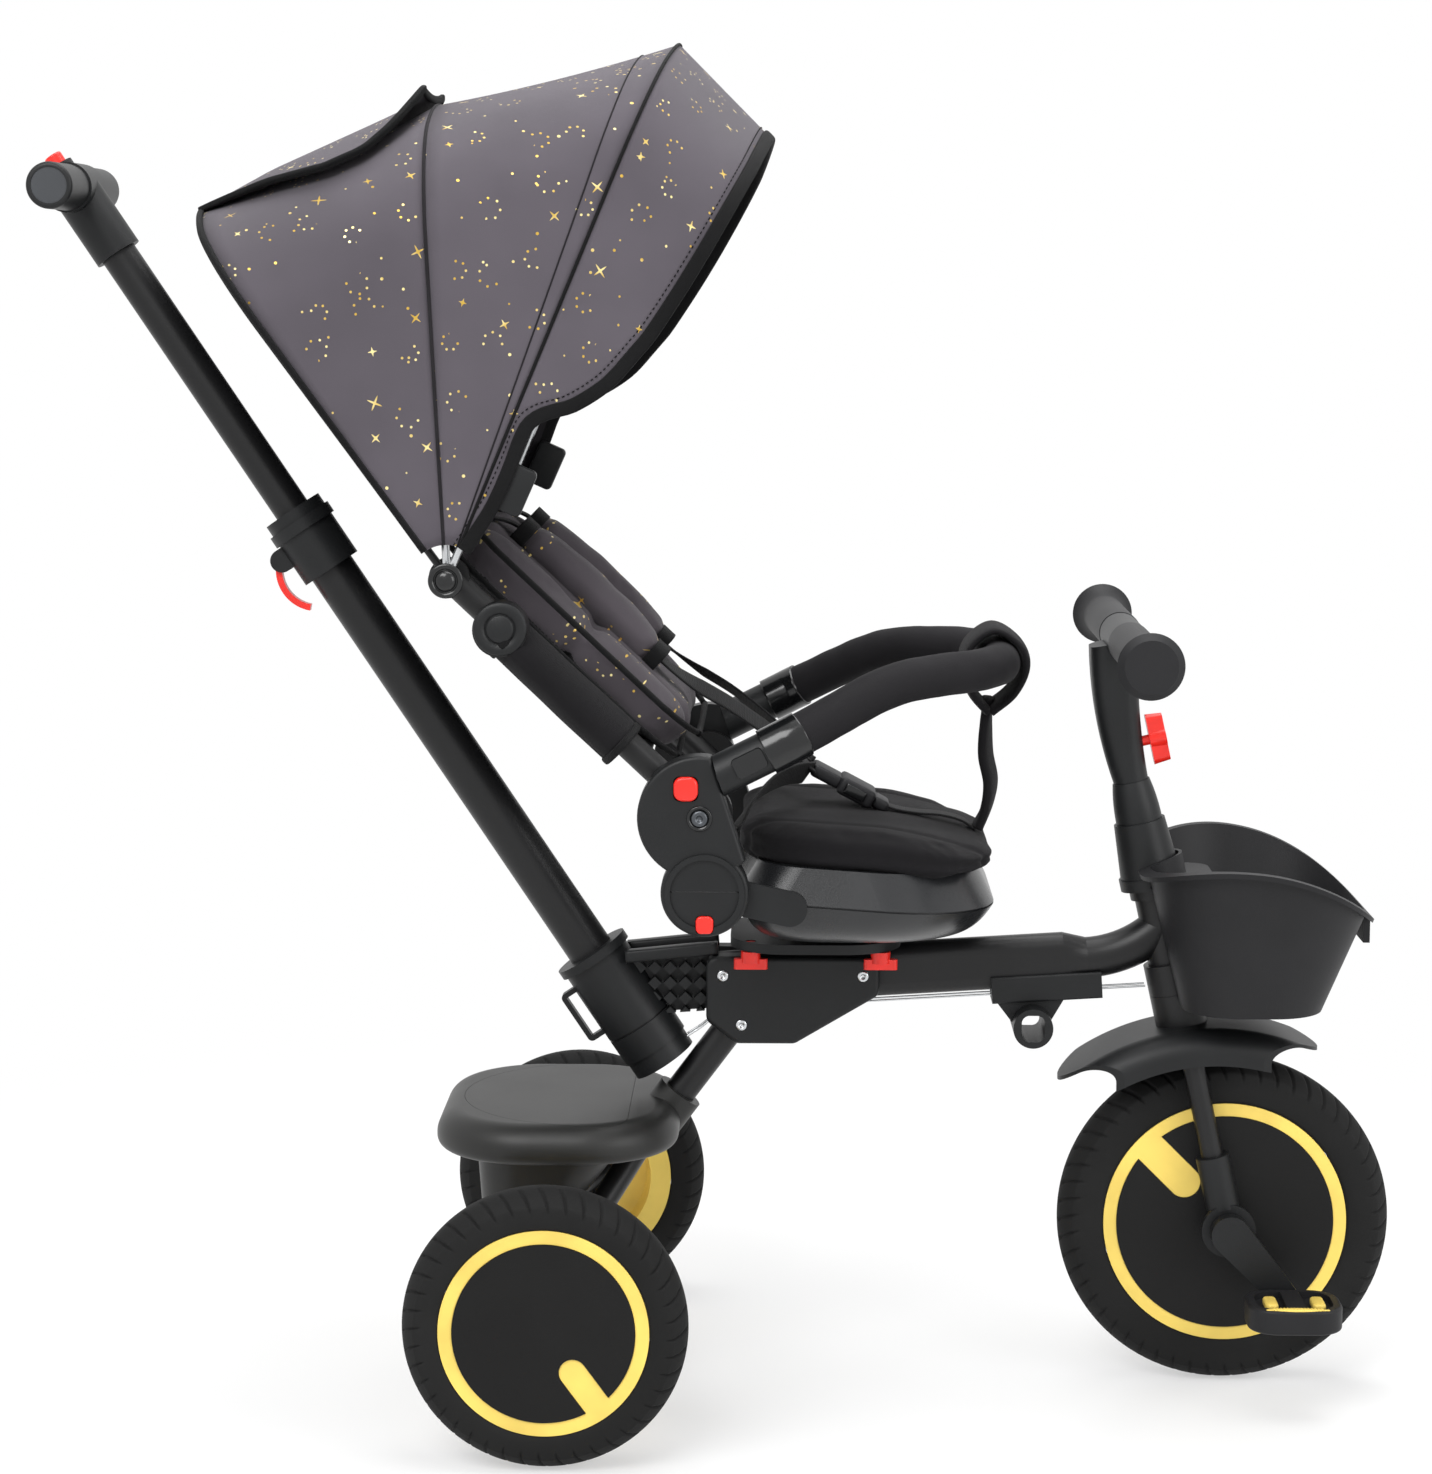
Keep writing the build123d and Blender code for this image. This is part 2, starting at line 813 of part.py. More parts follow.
# Cable guide: a saddle under the beam with a channel, a neck and the footrest socket
guide_low = beam_h / 2 + guide_channel_h + guide_floor
footrest = beam_at(guide_from + footrest_along, -beam_h / 2 - footrest_drop)
with BuildPart() as cable_guide:
    with BuildSketch(square_to(beam_at(guide_from), beam_dir)):
        with Locations((0, -(guide_low + beam_h / 2 - guide_up) / 2)):
            RectangleRounded(
                beam_w + 2 * guide_side, guide_low - beam_h / 2 + guide_up, guide_side / 2
            )
        RectangleRounded(beam_w, beam_h, beam_corner_r, mode=Mode.SUBTRACT)
        with Locations((0, -beam_h / 2 - guide_channel_h / 2 + beam_corner_r / 4)):
            Rectangle(guide_channel_w, guide_channel_h + beam_corner_r / 2, mode=Mode.SUBTRACT)
    extrude(amount=guide_len)
    with BuildSketch(side_plane(footrest)):
        Circle(footrest_r)
    extrude(amount=footrest_half, both=True)
    web_top = footrest_drop - guide_channel_h - guide_floor / 2
    with BuildSketch(Plane(origin=footrest, x_dir=beam_dir, z_dir=(0, -1, 0))):
        with BuildLine():
            Polyline(
                (-footrest_r * footrest_web_grip, 0),
                (footrest_r * footrest_web_grip, 0),
                (footrest_web_half, web_top),
                (-footrest_web_half, web_top),
                close=True,
            )
        make_face()
    extrude(amount=beam_w / 2, both=True)
    with BuildSketch(side_plane(footrest)):
        RectangleRounded(footrest_hole_w, footrest_hole_h, footrest_hole_r)
    extrude(amount=footrest_half, both=True, mode=Mode.SUBTRACT)
keep(cable_guide, "cable_guide")

# Steering wires from the socket cap, under the beam, to the cup of the head
wire_level = -beam_h / 2 - wire_under_beam
cap_reach = socket_cap_r + seam
wire_start = push_foot + push_ahead * cap_reach - push_up * (socket_cap_len / 2)
wire_turn = wire_start + push_ahead * (socket_r / 2)
wire_lift = beam_at(strut_r / 2, wire_level)
cup_rear = front_hub + steer_up * (head_low + low_cup_h / 2) - steer_ahead * low_cup_r
wire_end_along = (cup_rear - beam_start).dot(beam_dir) - 2 * wire_r
with BuildPart() as steering_wires:
    for side in (-1, 1):
        aside = Vector(0, side * wire_y, 0)
        with BuildLine() as wire_line:
            FilletPolyline(
                wire_start + aside,
                wire_turn + aside,
                wire_lift + aside,
                beam_at(wire_end_along, wire_level) + aside,
                radius=wire_bend_r,
            )
        with BuildSketch(Plane(origin=wire_start + aside, z_dir=push_ahead)):
            Circle(wire_r)
        sweep(path=wire_line.wires()[0])
keep(steering_wires, "steering_wires")

# Swivel base: a saddle on the beam under a rounded plate
swivel_x = rear_x + swivel_mid
turn_x = rear_x + turn_mid
knob_places = [(x, y) for x in (-knob_x, knob_x) for y in (-knob_y, knob_y)]
with BuildPart() as swivel_base:
    with BuildSketch(square_to(swivel_foot, beam_dir)):
        with Locations((0, beam_h / 2 - swivel_saddle_grip / 2 + swivel_plate_t / 2)):
            Rectangle(beam_w + 2 * swivel_saddle_w, swivel_saddle_grip + swivel_plate_t)
        RectangleRounded(beam_w, beam_h, beam_corner_r, mode=Mode.SUBTRACT)
    extrude(amount=swivel_saddle_len)
    with BuildSketch(Plane.XY.offset(swivel_plate_z + swivel_plate_t)):
        with Locations((swivel_x, 0)):
            Rectangle(swivel_plate_len, swivel_plate_w)
    extrude(amount=swivel_plate_t, mode=Mode.SUBTRACT)
    with BuildSketch(Plane.XY.offset(swivel_plate_z)):
        with Locations((swivel_x, 0)):
            RectangleRounded(swivel_plate_len, swivel_plate_w, swivel_plate_r)
    extrude(amount=swivel_plate_t)
    with BuildSketch(Plane.XY.offset(swivel_plate_z + swivel_plate_t)):
        with Locations((turn_x, 0)):
            Circle(spigot_r + fit)
    extrude(amount=-spigot_len - gap, mode=Mode.SUBTRACT)
    with BuildSketch(Plane.XY.offset(swivel_plate_z)):
        with Locations(*[(swivel_x + x, y) for x, y in knob_places]):
            Circle(knob_shaft_r + fit)
    extrude(amount=swivel_plate_t, mode=Mode.SUBTRACT)
keep(swivel_base, "swivel_base")

# Wing knobs under the swivel plate
for x, y in knob_places:
    end = "front" if x > 0 else "rear"
    side_name = "left" if y > 0 else "right"
    knob_foot = Plane(origin=(swivel_x + x, y, swivel_plate_z - gap))
    with BuildPart() as wing_knob:
        with BuildSketch(knob_foot):
            Circle(knob_shaft_r)
        extrude(amount=swivel_plate_t - gap)
        with BuildSketch(knob_foot):
            Circle(knob_hub_r)
        extrude(amount=-knob_hub_h)
        with BuildSketch(knob_foot.offset(-knob_hub_h + knob_corner_r)):
            RectangleRounded(2 * knob_wing_half, knob_wing_t, knob_corner_r)
        extrude(amount=-knob_wing_h + knob_corner_r)
    keep(wing_knob, f"wing_knob_{end}_{side_name}")


def wheel_section(hub, outward):
    """Radial half-section of a wheel: x runs outward along the axle, y is the radius."""
    return Plane(origin=hub, x_dir=(0, outward, 0), z_dir=(outward, 0, 0))


def make_tyre(hub, outer_r, seat_r, name):
    """Foam tyre with flat walls and a crowned tread."""
    half = tyre_w / 2
    with BuildPart() as tyre:
        with BuildSketch(wheel_section(hub, 1)):
            with BuildLine():
                Polyline(
                    (-half, outer_r - tread_drop),
                    (-half, seat_r),
                    (half, seat_r),
                    (half, outer_r - tread_drop),
                )
                ThreePointArc((half, outer_r - tread_drop), (0, outer_r), (-half, outer_r - tread_drop))
            make_face()
            fillet(vertices().group_by(Axis.Y)[-1], tread_edge_r)
        revolve(axis=Axis(hub, (0, 1, 0)))
    keep(tyre, name)


def tick_shape(rim_r, tick_w, tick_start, angle, spread=0.0):
    """Rounded radial window of a wheel disc, open to the ring."""
    inner = tick_start + tick_w / 2
    with BuildSketch() as tick:
        with PolarLocations((inner + rim_r) / 2, 1, start_angle=angle):
            Rectangle(rim_r - inner, tick_w + 2 * spread)
        with PolarLocations(inner, 1, start_angle=angle):
            Circle(tick_w / 2 + spread)
        Circle(rim_r - ring_w + spread, mode=Mode.INTERSECT)
    return tick.sketch


def disc_face(hub, outward):
    """Plane of the floor that a wheel disc lies on."""
    return side_plane(hub + Vector(0, outward * (rim_w / 2 - disc_t), 0), outward)


half_rim = rim_w / 2
for outward, side_name in ((-1, "right"), (1, "left")):
    hub = rear_hub + Vector(0, outward * track / 2, 0)
    make_tyre(hub, rear_tyre_r, rear_rim_r, f"rear_tyre_{side_name}")

    # Rim: ring and window on the outside, a dish with a hub boss on the inside
    with BuildPart() as rear_rim:
        with BuildSketch(wheel_section(hub, outward)):
            with BuildLine():
                Polyline(
                    (half_rim - disc_t, axle_r + fit),
                    (half_rim - disc_t, rear_rim_r - ring_w),
                    (half_rim, rear_rim_r - ring_w),
                    (half_rim, rear_rim_r),
                    (-half_rim, rear_rim_r),
                    (-half_rim, rear_rim_r - band_w),
                    (-half_rim + dish_depth, rear_rim_r - band_w - dish_draft),
                    (-half_rim + dish_depth, hub_boss_r + dish_draft),
                    (-half_rim - hub_boss_out, hub_boss_r),
                    (-half_rim - hub_boss_out, axle_r + fit),
                    close=True,
                )
            make_face()
        revolve(axis=Axis(hub, (0, 1, 0)))
        with BuildSketch(disc_face(hub, outward)):
            add(tick_shape(rear_rim_r, tick_w_rear, tick_start_rear, tick_angle_rear))
        extrude(amount=disc_t)
    keep(rear_rim, f"rear_rim_{side_name}")

    # Dark disc that fills the rim's face inside the ring
    with BuildPart() as rear_disc:
        with BuildSketch(disc_face(hub, outward)):
            Circle(rear_rim_r - ring_w - gap)
            add(
                tick_shape(rear_rim_r, tick_w_rear, tick_start_rear, tick_angle_rear, gap),
                mode=Mode.SUBTRACT,
            )
        extrude(amount=disc_t + disc_proud)
    keep(rear_disc, f"rear_disc_{side_name}")

# Front wheel: the same build with a disc on both faces
make_tyre(front_hub, front_tyre_r, front_rim_r, "front_tyre")
with BuildPart() as front_rim:
    with BuildSketch(wheel_section(front_hub, 1)):
        with BuildLine():
            Polyline(
                (half_rim - disc_t, axle_r + seam),
                (half_rim - disc_t, front_rim_r - ring_w),
                (half_rim, front_rim_r - ring_w),
                (half_rim, front_rim_r),
                (-half_rim, front_rim_r),
                (-half_rim, front_rim_r - ring_w),
                (disc_t - half_rim, front_rim_r - ring_w),
                (disc_t - half_rim, axle_r + seam),
                close=True,
            )
        make_face()
    revolve(axis=Axis(front_hub, (0, 1, 0)))
    for outward in (-1, 1):
        with BuildSketch(disc_face(front_hub, outward)):
            add(tick_shape(front_rim_r, tick_w_front, tick_start_front, tick_angle_front))
        extrude(amount=disc_t)
keep(front_rim, "front_rim")

with BuildPart() as front_discs:
    for outward in (-1, 1):
        with BuildSketch(disc_face(front_hub, outward)):
            Circle(front_rim_r - ring_w - gap)
            add(
                tick_shape(front_rim_r, tick_w_front, tick_start_front, tick_angle_front, gap),
                mode=Mode.SUBTRACT,
            )
            Circle(axle_r + seam, mode=Mode.SUBTRACT)
        extrude(amount=disc_t + disc_proud)
keep(front_discs, "front_discs")

# Cranks: one axle through the hub with an arm and a pedal spindle at each end
crank_out = crank_in + crank_t
with BuildPart() as cranks:
    with BuildSketch(side_plane(front_hub)):
        Circle(axle_r)
    extrude(amount=crank_in, both=True)
    for outward in (-1, 1):
        arm_face = side_plane(front_hub + Vector(0, outward * crank_in, 0), outward)
        arm_end = arm_face.to_local_coords(
            front_hub + Vector(-outward * crank_ahead, 0, outward * crank_below)
        )
        with BuildSketch(arm_face):
            Circle(crank_hub_r)
            with Locations((arm_end.X, arm_end.Y)):
                Circle(crank_end_r)
            make_hull()
        extrude(amount=crank_t)
        with BuildSketch(arm_face.offset(crank_t)):
            with Locations((arm_end.X, arm_end.Y)):
                Circle(spindle_r)
        extrude(amount=spindle_len)
keep(cranks, "cranks")

# Pedals, each with a rim round a ribbed tread
for outward, side_name in ((-1, "right"), (1, "left")):
    pedal_mid = front_hub + Vector(
        -outward * crank_ahead, outward * (crank_out + pedal_gap + pedal_w / 2), outward * crank_below
    )
    pedal_plane = Plane(origin=pedal_mid)
    with BuildPart() as pedal:
        with BuildSketch(pedal_plane):
            RectangleRounded(pedal_len, pedal_w, pedal_corner_r)
        extrude(amount=pedal_h / 2, both=True)
        fillet(edges().group_by(Axis.Z)[0] + edges().group_by(Axis.Z)[-1], pedal_edge_r)
        for level in (-1, 1):
            with BuildSketch(pedal_plane.offset(level * pedal_h / 2)):
                RectangleRounded(
                    pedal_len - 2 * pedal_rim, pedal_w - 2 * pedal_rim, pedal_corner_r - pedal_rim
                )
                Rectangle(pedal_len, spindle_r * 2 + pedal_rib_w / 2, rotation=90, mode=Mode.SUBTRACT)
            extrude(amount=-level * pedal_pit, mode=Mode.SUBTRACT)
        with BuildSketch(side_plane(pedal_mid, outward)):
            Circle(spindle_r + fit)
        extrude(amount=-pedal_w / 2, mode=Mode.SUBTRACT)
        with BuildSketch(side_plane(pedal_mid, outward)):
            Circle(spindle_r + fit)
        extrude(amount=spindle_len - pedal_gap - pedal_w / 2 + gap, mode=Mode.SUBTRACT)
    keep(pedal, f"pedal_{side_name}")

# Fork: steerer, crown and two legs with axle eyes
with BuildPart() as fork:
    with BuildSketch(steer_plane.offset(crown_at)):
        Circle(steerer_r)
    extrude(amount=steerer_top - crown_at)
    with BuildSketch(steer_plane.offset(crown_at)):
        RectangleRounded(crown_w, 2 * (leg_y + fork_leg_r), fork_leg_r)
    extrude(amount=crown_h)
    with BuildSketch(steer_plane.offset(crown_at + crown_h)):
        Circle(low_cup_r)
    extrude(amount=head_low - crown_at - crown_h - gap)
    with BuildSketch(steer_plane):
        with Locations((0, -leg_y), (0, leg_y)):
            Circle(fork_leg_r)
    extrude(amount=crown_at)
    for outward in (-1, 1):
        with BuildSketch(side_plane(front_hub + Vector(0, outward * eye_in, 0), outward)):
            Circle(eye_r)
        extrude(amount=eye_out - eye_in)
    with BuildSketch(side_plane(front_hub)):
        Circle(axle_r + fit)
    extrude(amount=leg_y + 2 * fork_leg_r, both=True, mode=Mode.SUBTRACT)
keep(fork, "fork")

# Leg covers: a sleeve round each leg that ends in a hub disc
with BuildPart() as leg_covers:
    for outward in (-1, 1):
        with BuildSketch(steer_plane.offset(leg_cover_from)):
            with Locations((0, outward * leg_y)):
                Circle(leg_cover_r)
        extrude(amount=leg_cover_len)
        with BuildSketch(side_plane(front_hub + Vector(0, outward * eye_out, 0), outward)):
            Circle(hub_disc_r)
        extrude(amount=hub_disc_t)
    with BuildSketch(steer_plane):
        with Locations((0, -leg_y), (0, leg_y)):
            Circle(fork_leg_r + seam)
    extrude(amount=crown_at, mode=Mode.SUBTRACT)
    for outward in (-1, 1):
        with BuildSketch(side_plane(front_hub + Vector(0, outward * eye_in, 0), outward)):
            Circle(eye_r + seam)
        extrude(amount=eye_out - eye_in, mode=Mode.SUBTRACT)
    with BuildSketch(side_plane(front_hub)):
        Circle(axle_r + gap)
    extrude(amount=eye_out + hub_disc_t, both=True, mode=Mode.SUBTRACT)
keep(leg_covers, "leg_covers")

# Mudguard: an arched shell, revolved over the wheel and trimmed to a leaf in plan
guard_top = front_hub + steer_up * guard_top_along
guard_rear_point = ahead(guard_rear, guard_rear_z)
guard_front_point = ahead(guard_front, guard_front_z)
with BuildLine(Plane.XZ) as guard_line:
    ThreePointArc(
        (guard_rear_point.X, guard_rear_point.Z),
        (guard_top.X, guard_top.Z),
        (guard_front_point.X, guard_front_point.Z),
    )
guard_middle = guard_line.edges()[0].arc_center
guard_radius = (guard_top - guard_middle).length
guard_mid_x = (guard_rear_point.X + guard_front_point.X) / 2
guard_half_len = (guard_front - guard_rear) / 2
with BuildSketch() as guard_hollow:
    Rectangle(2 * (guard_half_w - guard_t), 2 * guard_droop)
    fillet(vertices().group_by(Axis.Y)[-1], guard_shoulder_r - guard_t)
with BuildPart() as mudguard:
    with BuildSketch(Plane(origin=guard_middle, x_dir=(0, 1, 0), z_dir=(1, 0, 0))):
        with Locations((0, guard_radius - guard_droop / 2)):
            Rectangle(2 * guard_half_w, guard_droop)
        fillet(vertices().group_by(Axis.Y)[-1], guard_shoulder_r)
        with Locations((0, guard_radius - guard_t - guard_droop)):
            add(guard_hollow.sketch, mode=Mode.SUBTRACT)
    revolve(axis=Axis(guard_middle, (0, 1, 0)))
    with BuildSketch(Plane.XY.offset(front_tyre_r)):
        with Locations((guard_mid_x, 0)):
            Ellipse(guard_half_len, guard_plan_half_w)
    extrude(amount=2 * front_tyre_r, mode=Mode.INTERSECT)
    with BuildSketch(steer_plane.offset(crown_at)):
        Circle(low_cup_r + seam)
    extrude(amount=head_len, mode=Mode.SUBTRACT)
keep(mudguard, "mudguard")

# Stem sleeve on the steerer: a ring, a stepped cone and a ball end
stem_low = head_low + head_len + gap
with BuildPart() as stem_sleeve:
    with BuildSketch(steer_section):
        with BuildLine():
            Polyline(
                (steerer_r + seam, stem_low),
                (stem_ring_r, stem_low),
                (stem_ring_r, stem_low + stem_ring_h),
                (stem_low_r, stem_low + stem_ring_h),
                (stem_mid_r, stem_low + stem_step),
                (stem_ball_r, stem_low + stem_step),
            )
            TangentArc(
                (stem_ball_r, stem_low + stem_step),
                (stem_neck_r, stem_low + stem_len),
                tangent=(0, 1),
            )
            Polyline(
                (stem_neck_r, stem_low + stem_len),
                (steerer_r + seam, stem_low + stem_len),
                (steerer_r + seam, stem_low),
            )
        make_face()
    revolve(axis=steer_axis)
keep(stem_sleeve, "stem_sleeve")

# Handlebar: a tapered riser with a cross hub and the core tube of the grips
bar_mid = front_hub + steer_up * bar_along + steer_ahead * bar_ahead
riser_foot = stem_low + stem_len
with BuildPart() as handlebar:
    with BuildSketch(steer_plane.offset(riser_foot)):
        RectangleRounded(2 * riser_low_r, 2 * riser_low_r, riser_low_r - gap)
    with BuildSketch(steer_plane.offset(riser_mid_along)):
        RectangleRounded(riser_mid_d, riser_mid_w, riser_corner_r)
    with BuildSketch(steer_plane.offset(bar_along)):
        with Locations((bar_ahead / 2, 0)):
            RectangleRounded(riser_top_d, riser_top_w, riser_corner_r)
    loft()
    with BuildSketch(side_plane(bar_mid)):
        Circle(bar_r)
    extrude(amount=bar_hub_half, both=True)
    with BuildSketch(side_plane(bar_mid)):
        Circle(bar_core_r)
    extrude(amount=bar_half - grip_end_t, both=True)
    with BuildSketch(
        Plane(origin=front_hub + steer_up * bar_knob_along, x_dir=(0, 1, 0), z_dir=steer_ahead)
    ):
        Circle(bar_knob_shaft_r + fit)
    extrude(amount=bar_knob_ahead, mode=Mode.SUBTRACT)
keep(handlebar, "handlebar")

# Grips with flared ends
grip_from = bar_hub_half + seam
with BuildPart() as grips:
    for outward in (-1, 1):
        with BuildSketch(wheel_section(bar_mid, outward)):
            with BuildLine():
                Polyline(
                    (bar_half, 0),
                    (bar_half - grip_end_t, 0),
                    (bar_half - grip_end_t, bar_core_r),
                    (grip_from, bar_core_r),
                    (grip_from, grip_bar_r),
                    (bar_half - grip_flare_len, grip_bar_r),
                )
                TangentArc(
                    (bar_half - grip_flare_len, grip_bar_r),
                    (bar_half - grip_end_t, grip_flare_r),
                    tangent=(1, 0),
                )
                Polyline(
                    (bar_half - grip_end_t, grip_flare_r),
                    (bar_half, grip_flare_r - grip_end_t),
                    (bar_half, 0),
                )
            make_face()
        revolve(axis=Axis(bar_mid, (0, 1, 0)))
keep(grips, "grips")

# Wing knob on the front of the riser
knob_face = Plane(
    origin=front_hub + steer_up * bar_knob_along + steer_ahead * (riser_mid_d / 2 + bar_knob_gap),
    x_dir=(0, 1, 0),
    z_dir=steer_ahead,
)
with BuildPart() as bar_knob:
    with BuildSketch(knob_face.offset(-bar_knob_depth)):
        Circle(bar_knob_shaft_r)
    extrude(amount=bar_knob_depth)
    with BuildSketch(knob_face):
        RectangleRounded(bar_knob_w, 2 * bar_knob_half, bar_knob_w / 2 - gap)
    extrude(amount=bar_knob_t, taper=bar_knob_taper)
    with BuildSketch(knob_face):
        Circle(bar_knob_w / 2 + bar_knob_shaft_r / 2)
    extrude(amount=bar_knob_t)
keep(bar_knob, "bar_knob")


mouth_part = (basket_mouth_z - basket_rim_front_z) / (basket_mouth_z - basket_floor_z)
basket_nose = rear_x + basket_front - mouth_part * (basket_front - basket_floor_front)


def basket_shell(grow):
    """Solid tub of the basket, grown outward by a wall or a lip."""
    with BuildPart() as tub:
        with BuildSketch(Plane.XY.offset(basket_mouth_z)):
            with Locations((rear_x + (basket_rear + basket_front) / 2, 0)):
                RectangleRounded(
                    basket_front - basket_rear + 2 * grow,
                    2 * (basket_half_w + grow),
                    basket_corner_r + grow,
                )
        with BuildSketch(Plane.XY.offset(basket_floor_z - grow)):
            with Locations((rear_x + (basket_floor_rear + basket_floor_front) / 2, 0)):
                RectangleRounded(
                    basket_floor_front - basket_floor_rear + 2 * grow,
                    2 * (basket_floor_half_w + grow),
                    basket_floor_corner_r + grow,
                )
        loft()
    return tub.part


def under_rim(drop):
    """Everything under the basket's wavy rim, lowered by a drop."""
    rear_rim_x = rear_x + basket_rear - 2 * basket_lip
    front_rim_x = basket_nose + basket_lip
    with BuildPart() as below:
        with BuildSketch(Plane.XZ):
            with BuildLine():
                ThreePointArc(
                    (rear_rim_x, basket_rim_rear_z - drop),
                    (rear_x + basket_rim_peak, basket_rim_peak_z - drop),
                    (front_rim_x, basket_rim_front_z - drop),
                )
                Polyline(
                    (front_rim_x, basket_rim_front_z - drop),
                    (front_rim_x, basket_floor_z - 2 * basket_lip),
                    (rear_rim_x, basket_floor_z - 2 * basket_lip),
                    (rear_rim_x, basket_rim_rear_z - drop),
                )
            make_face()
        extrude(amount=2 * basket_half_w, both=True)
    return below.part


def stem_channel(grow):
    """Upright channel round the stem, open behind, grown outward by a wall."""
    channel_r = stem_ring_r + seam + grow
    with BuildPart() as channel:
        with BuildSketch(steer_plane.offset(crown_at)):
            Circle(channel_r)
            Rectangle(stem_len, 2 * channel_r, align=(Align.MAX, Align.CENTER))
        extrude(amount=head_len + 2 * stem_len)
    return channel.part


# Basket: a tapered tub round the stem with a wavy lip, a spout at the front and a clip
with BuildPart() as basket_tub:
    add(basket_shell(0))
    add(under_rim(0), mode=Mode.INTERSECT)

with BuildPart() as basket_hollow:
    add(basket_shell(-basket_wall))
    add(stem_channel(basket_wall), mode=Mode.SUBTRACT)

with BuildPart() as basket:
    add(basket_shell(basket_lip))
    add(under_rim(0), mode=Mode.INTERSECT)
    add(under_rim(basket_lip_t), mode=Mode.SUBTRACT)
    add(basket_tub.part)
    with BuildSketch(Plane.XZ):
        with Locations((basket_nose + basket_lip - basket_wall, basket_rim_front_z - basket_spout_h / 2)):
            Rectangle(2 * basket_wall, basket_spout_h)
    extrude(amount=basket_spout_half, both=True)
    add(basket_hollow.part, mode=Mode.SUBTRACT)
    add(stem_channel(0), mode=Mode.SUBTRACT)
    with BuildSketch(Plane.XY.offset(basket_clip_z)):
        with Locations((front_hub.X - basket_clip_back, 0)):
            RectangleRounded(basket_clip_len, basket_clip_w, basket_clip_r)
    extrude(amount=basket_clip_h)
    with BuildSketch(steer_plane.offset(head_low)):
        Circle(stem_ring_r + seam)
    extrude(amount=head_len + stem_len, mode=Mode.SUBTRACT)
keep(basket, "basket")

# Push bar: lower tube that turns in the socket
with BuildPart() as push_tube:
    with BuildSketch(push_plane.offset(gap)):
        Circle(low_tube_r)
        Circle(low_tube_bore_r, mode=Mode.SUBTRACT)
    extrude(amount=low_tube_len - gap)
keep(push_tube, "push_tube")

# Clamp collar on the top of the lower tube, with the lug and pin of its lever
pin_along = collar_from + collar_lug_from + collar_lug_h / 2
pin_behind = collar_lug_reach - collar_lug_h / 2
with BuildPart() as clamp_collar:
    with BuildSketch(push_plane.offset(collar_from)):
        Circle(collar_r)
    extrude(amount=collar_len)
    with BuildSketch(push_plane.offset(collar_from + collar_len - 2 * collar_rim_t)):
        Circle(collar_rim_r)
    extrude(amount=collar_rim_t)
    with BuildSketch(push_section):
        with Locations((-pin_behind / 2, pin_along)):
            Rectangle(pin_behind, collar_lug_h)
        with Locations((-pin_behind, pin_along)):
            Circle(collar_lug_h / 2)
    extrude(amount=collar_lug_w / 2, both=True)
    with BuildSketch(push_section):
        with Locations((-pin_behind, pin_along)):
            Circle(lever_root_r + gap)
        with Locations((-pin_behind - collar_lug_h / 2, pin_along - collar_lug_h / 2)):
            Rectangle(collar_lug_h, 3 * collar_lug_h)
    extrude(amount=lever_slot_w / 2, both=True, mode=Mode.SUBTRACT)
    with BuildSketch(push_section):
        with Locations((-pin_behind, pin_along)):
            Circle(lever_pin_r)
    extrude(amount=collar_lug_w / 2, both=True)
    with BuildSketch(push_plane.offset(collar_from)):
        Circle(low_tube_r + seam)
    extrude(amount=low_tube_len - collar_from, mode=Mode.SUBTRACT)
    with BuildSketch(push_plane.offset(collar_from)):
        Circle(up_tube_r + fit)
    extrude(amount=collar_len, mode=Mode.SUBTRACT)
keep(clamp_collar, "clamp_collar")

# Clamp lever: a bowed blade that hangs from the pin
lever_tip = (-pin_behind - lever_t / 2, pin_along - lever_len)
lever_belly = (-pin_behind - lever_t / 2 - lever_bow, pin_along - lever_len / 2)
lever_head = (-pin_behind - lever_t / 2, pin_along)
with BuildPart() as clamp_lever:
    with BuildSketch(push_section):
        with BuildLine() as lever_line:
            ThreePointArc(lever_head, lever_belly, lever_tip)
        trace(lever_line.edges(), line_width=lever_t)
        with Locations((-pin_behind, pin_along)):
            Circle(lever_root_r)
            Circle(lever_pin_r + fit, mode=Mode.SUBTRACT)
    extrude(amount=lever_w / 2, both=True)
keep(clamp_lever, "clamp_lever")

# Upper tube, handle, end caps and button
with BuildPart() as push_upper_tube:
    with BuildSketch(push_plane.offset(up_tube_start)):
        Circle(up_tube_r)
        Circle(up_tube_bore_r, mode=Mode.SUBTRACT)
    extrude(amount=grip_along - grip_r - up_tube_start)
keep(push_upper_tube, "push_upper_tube")

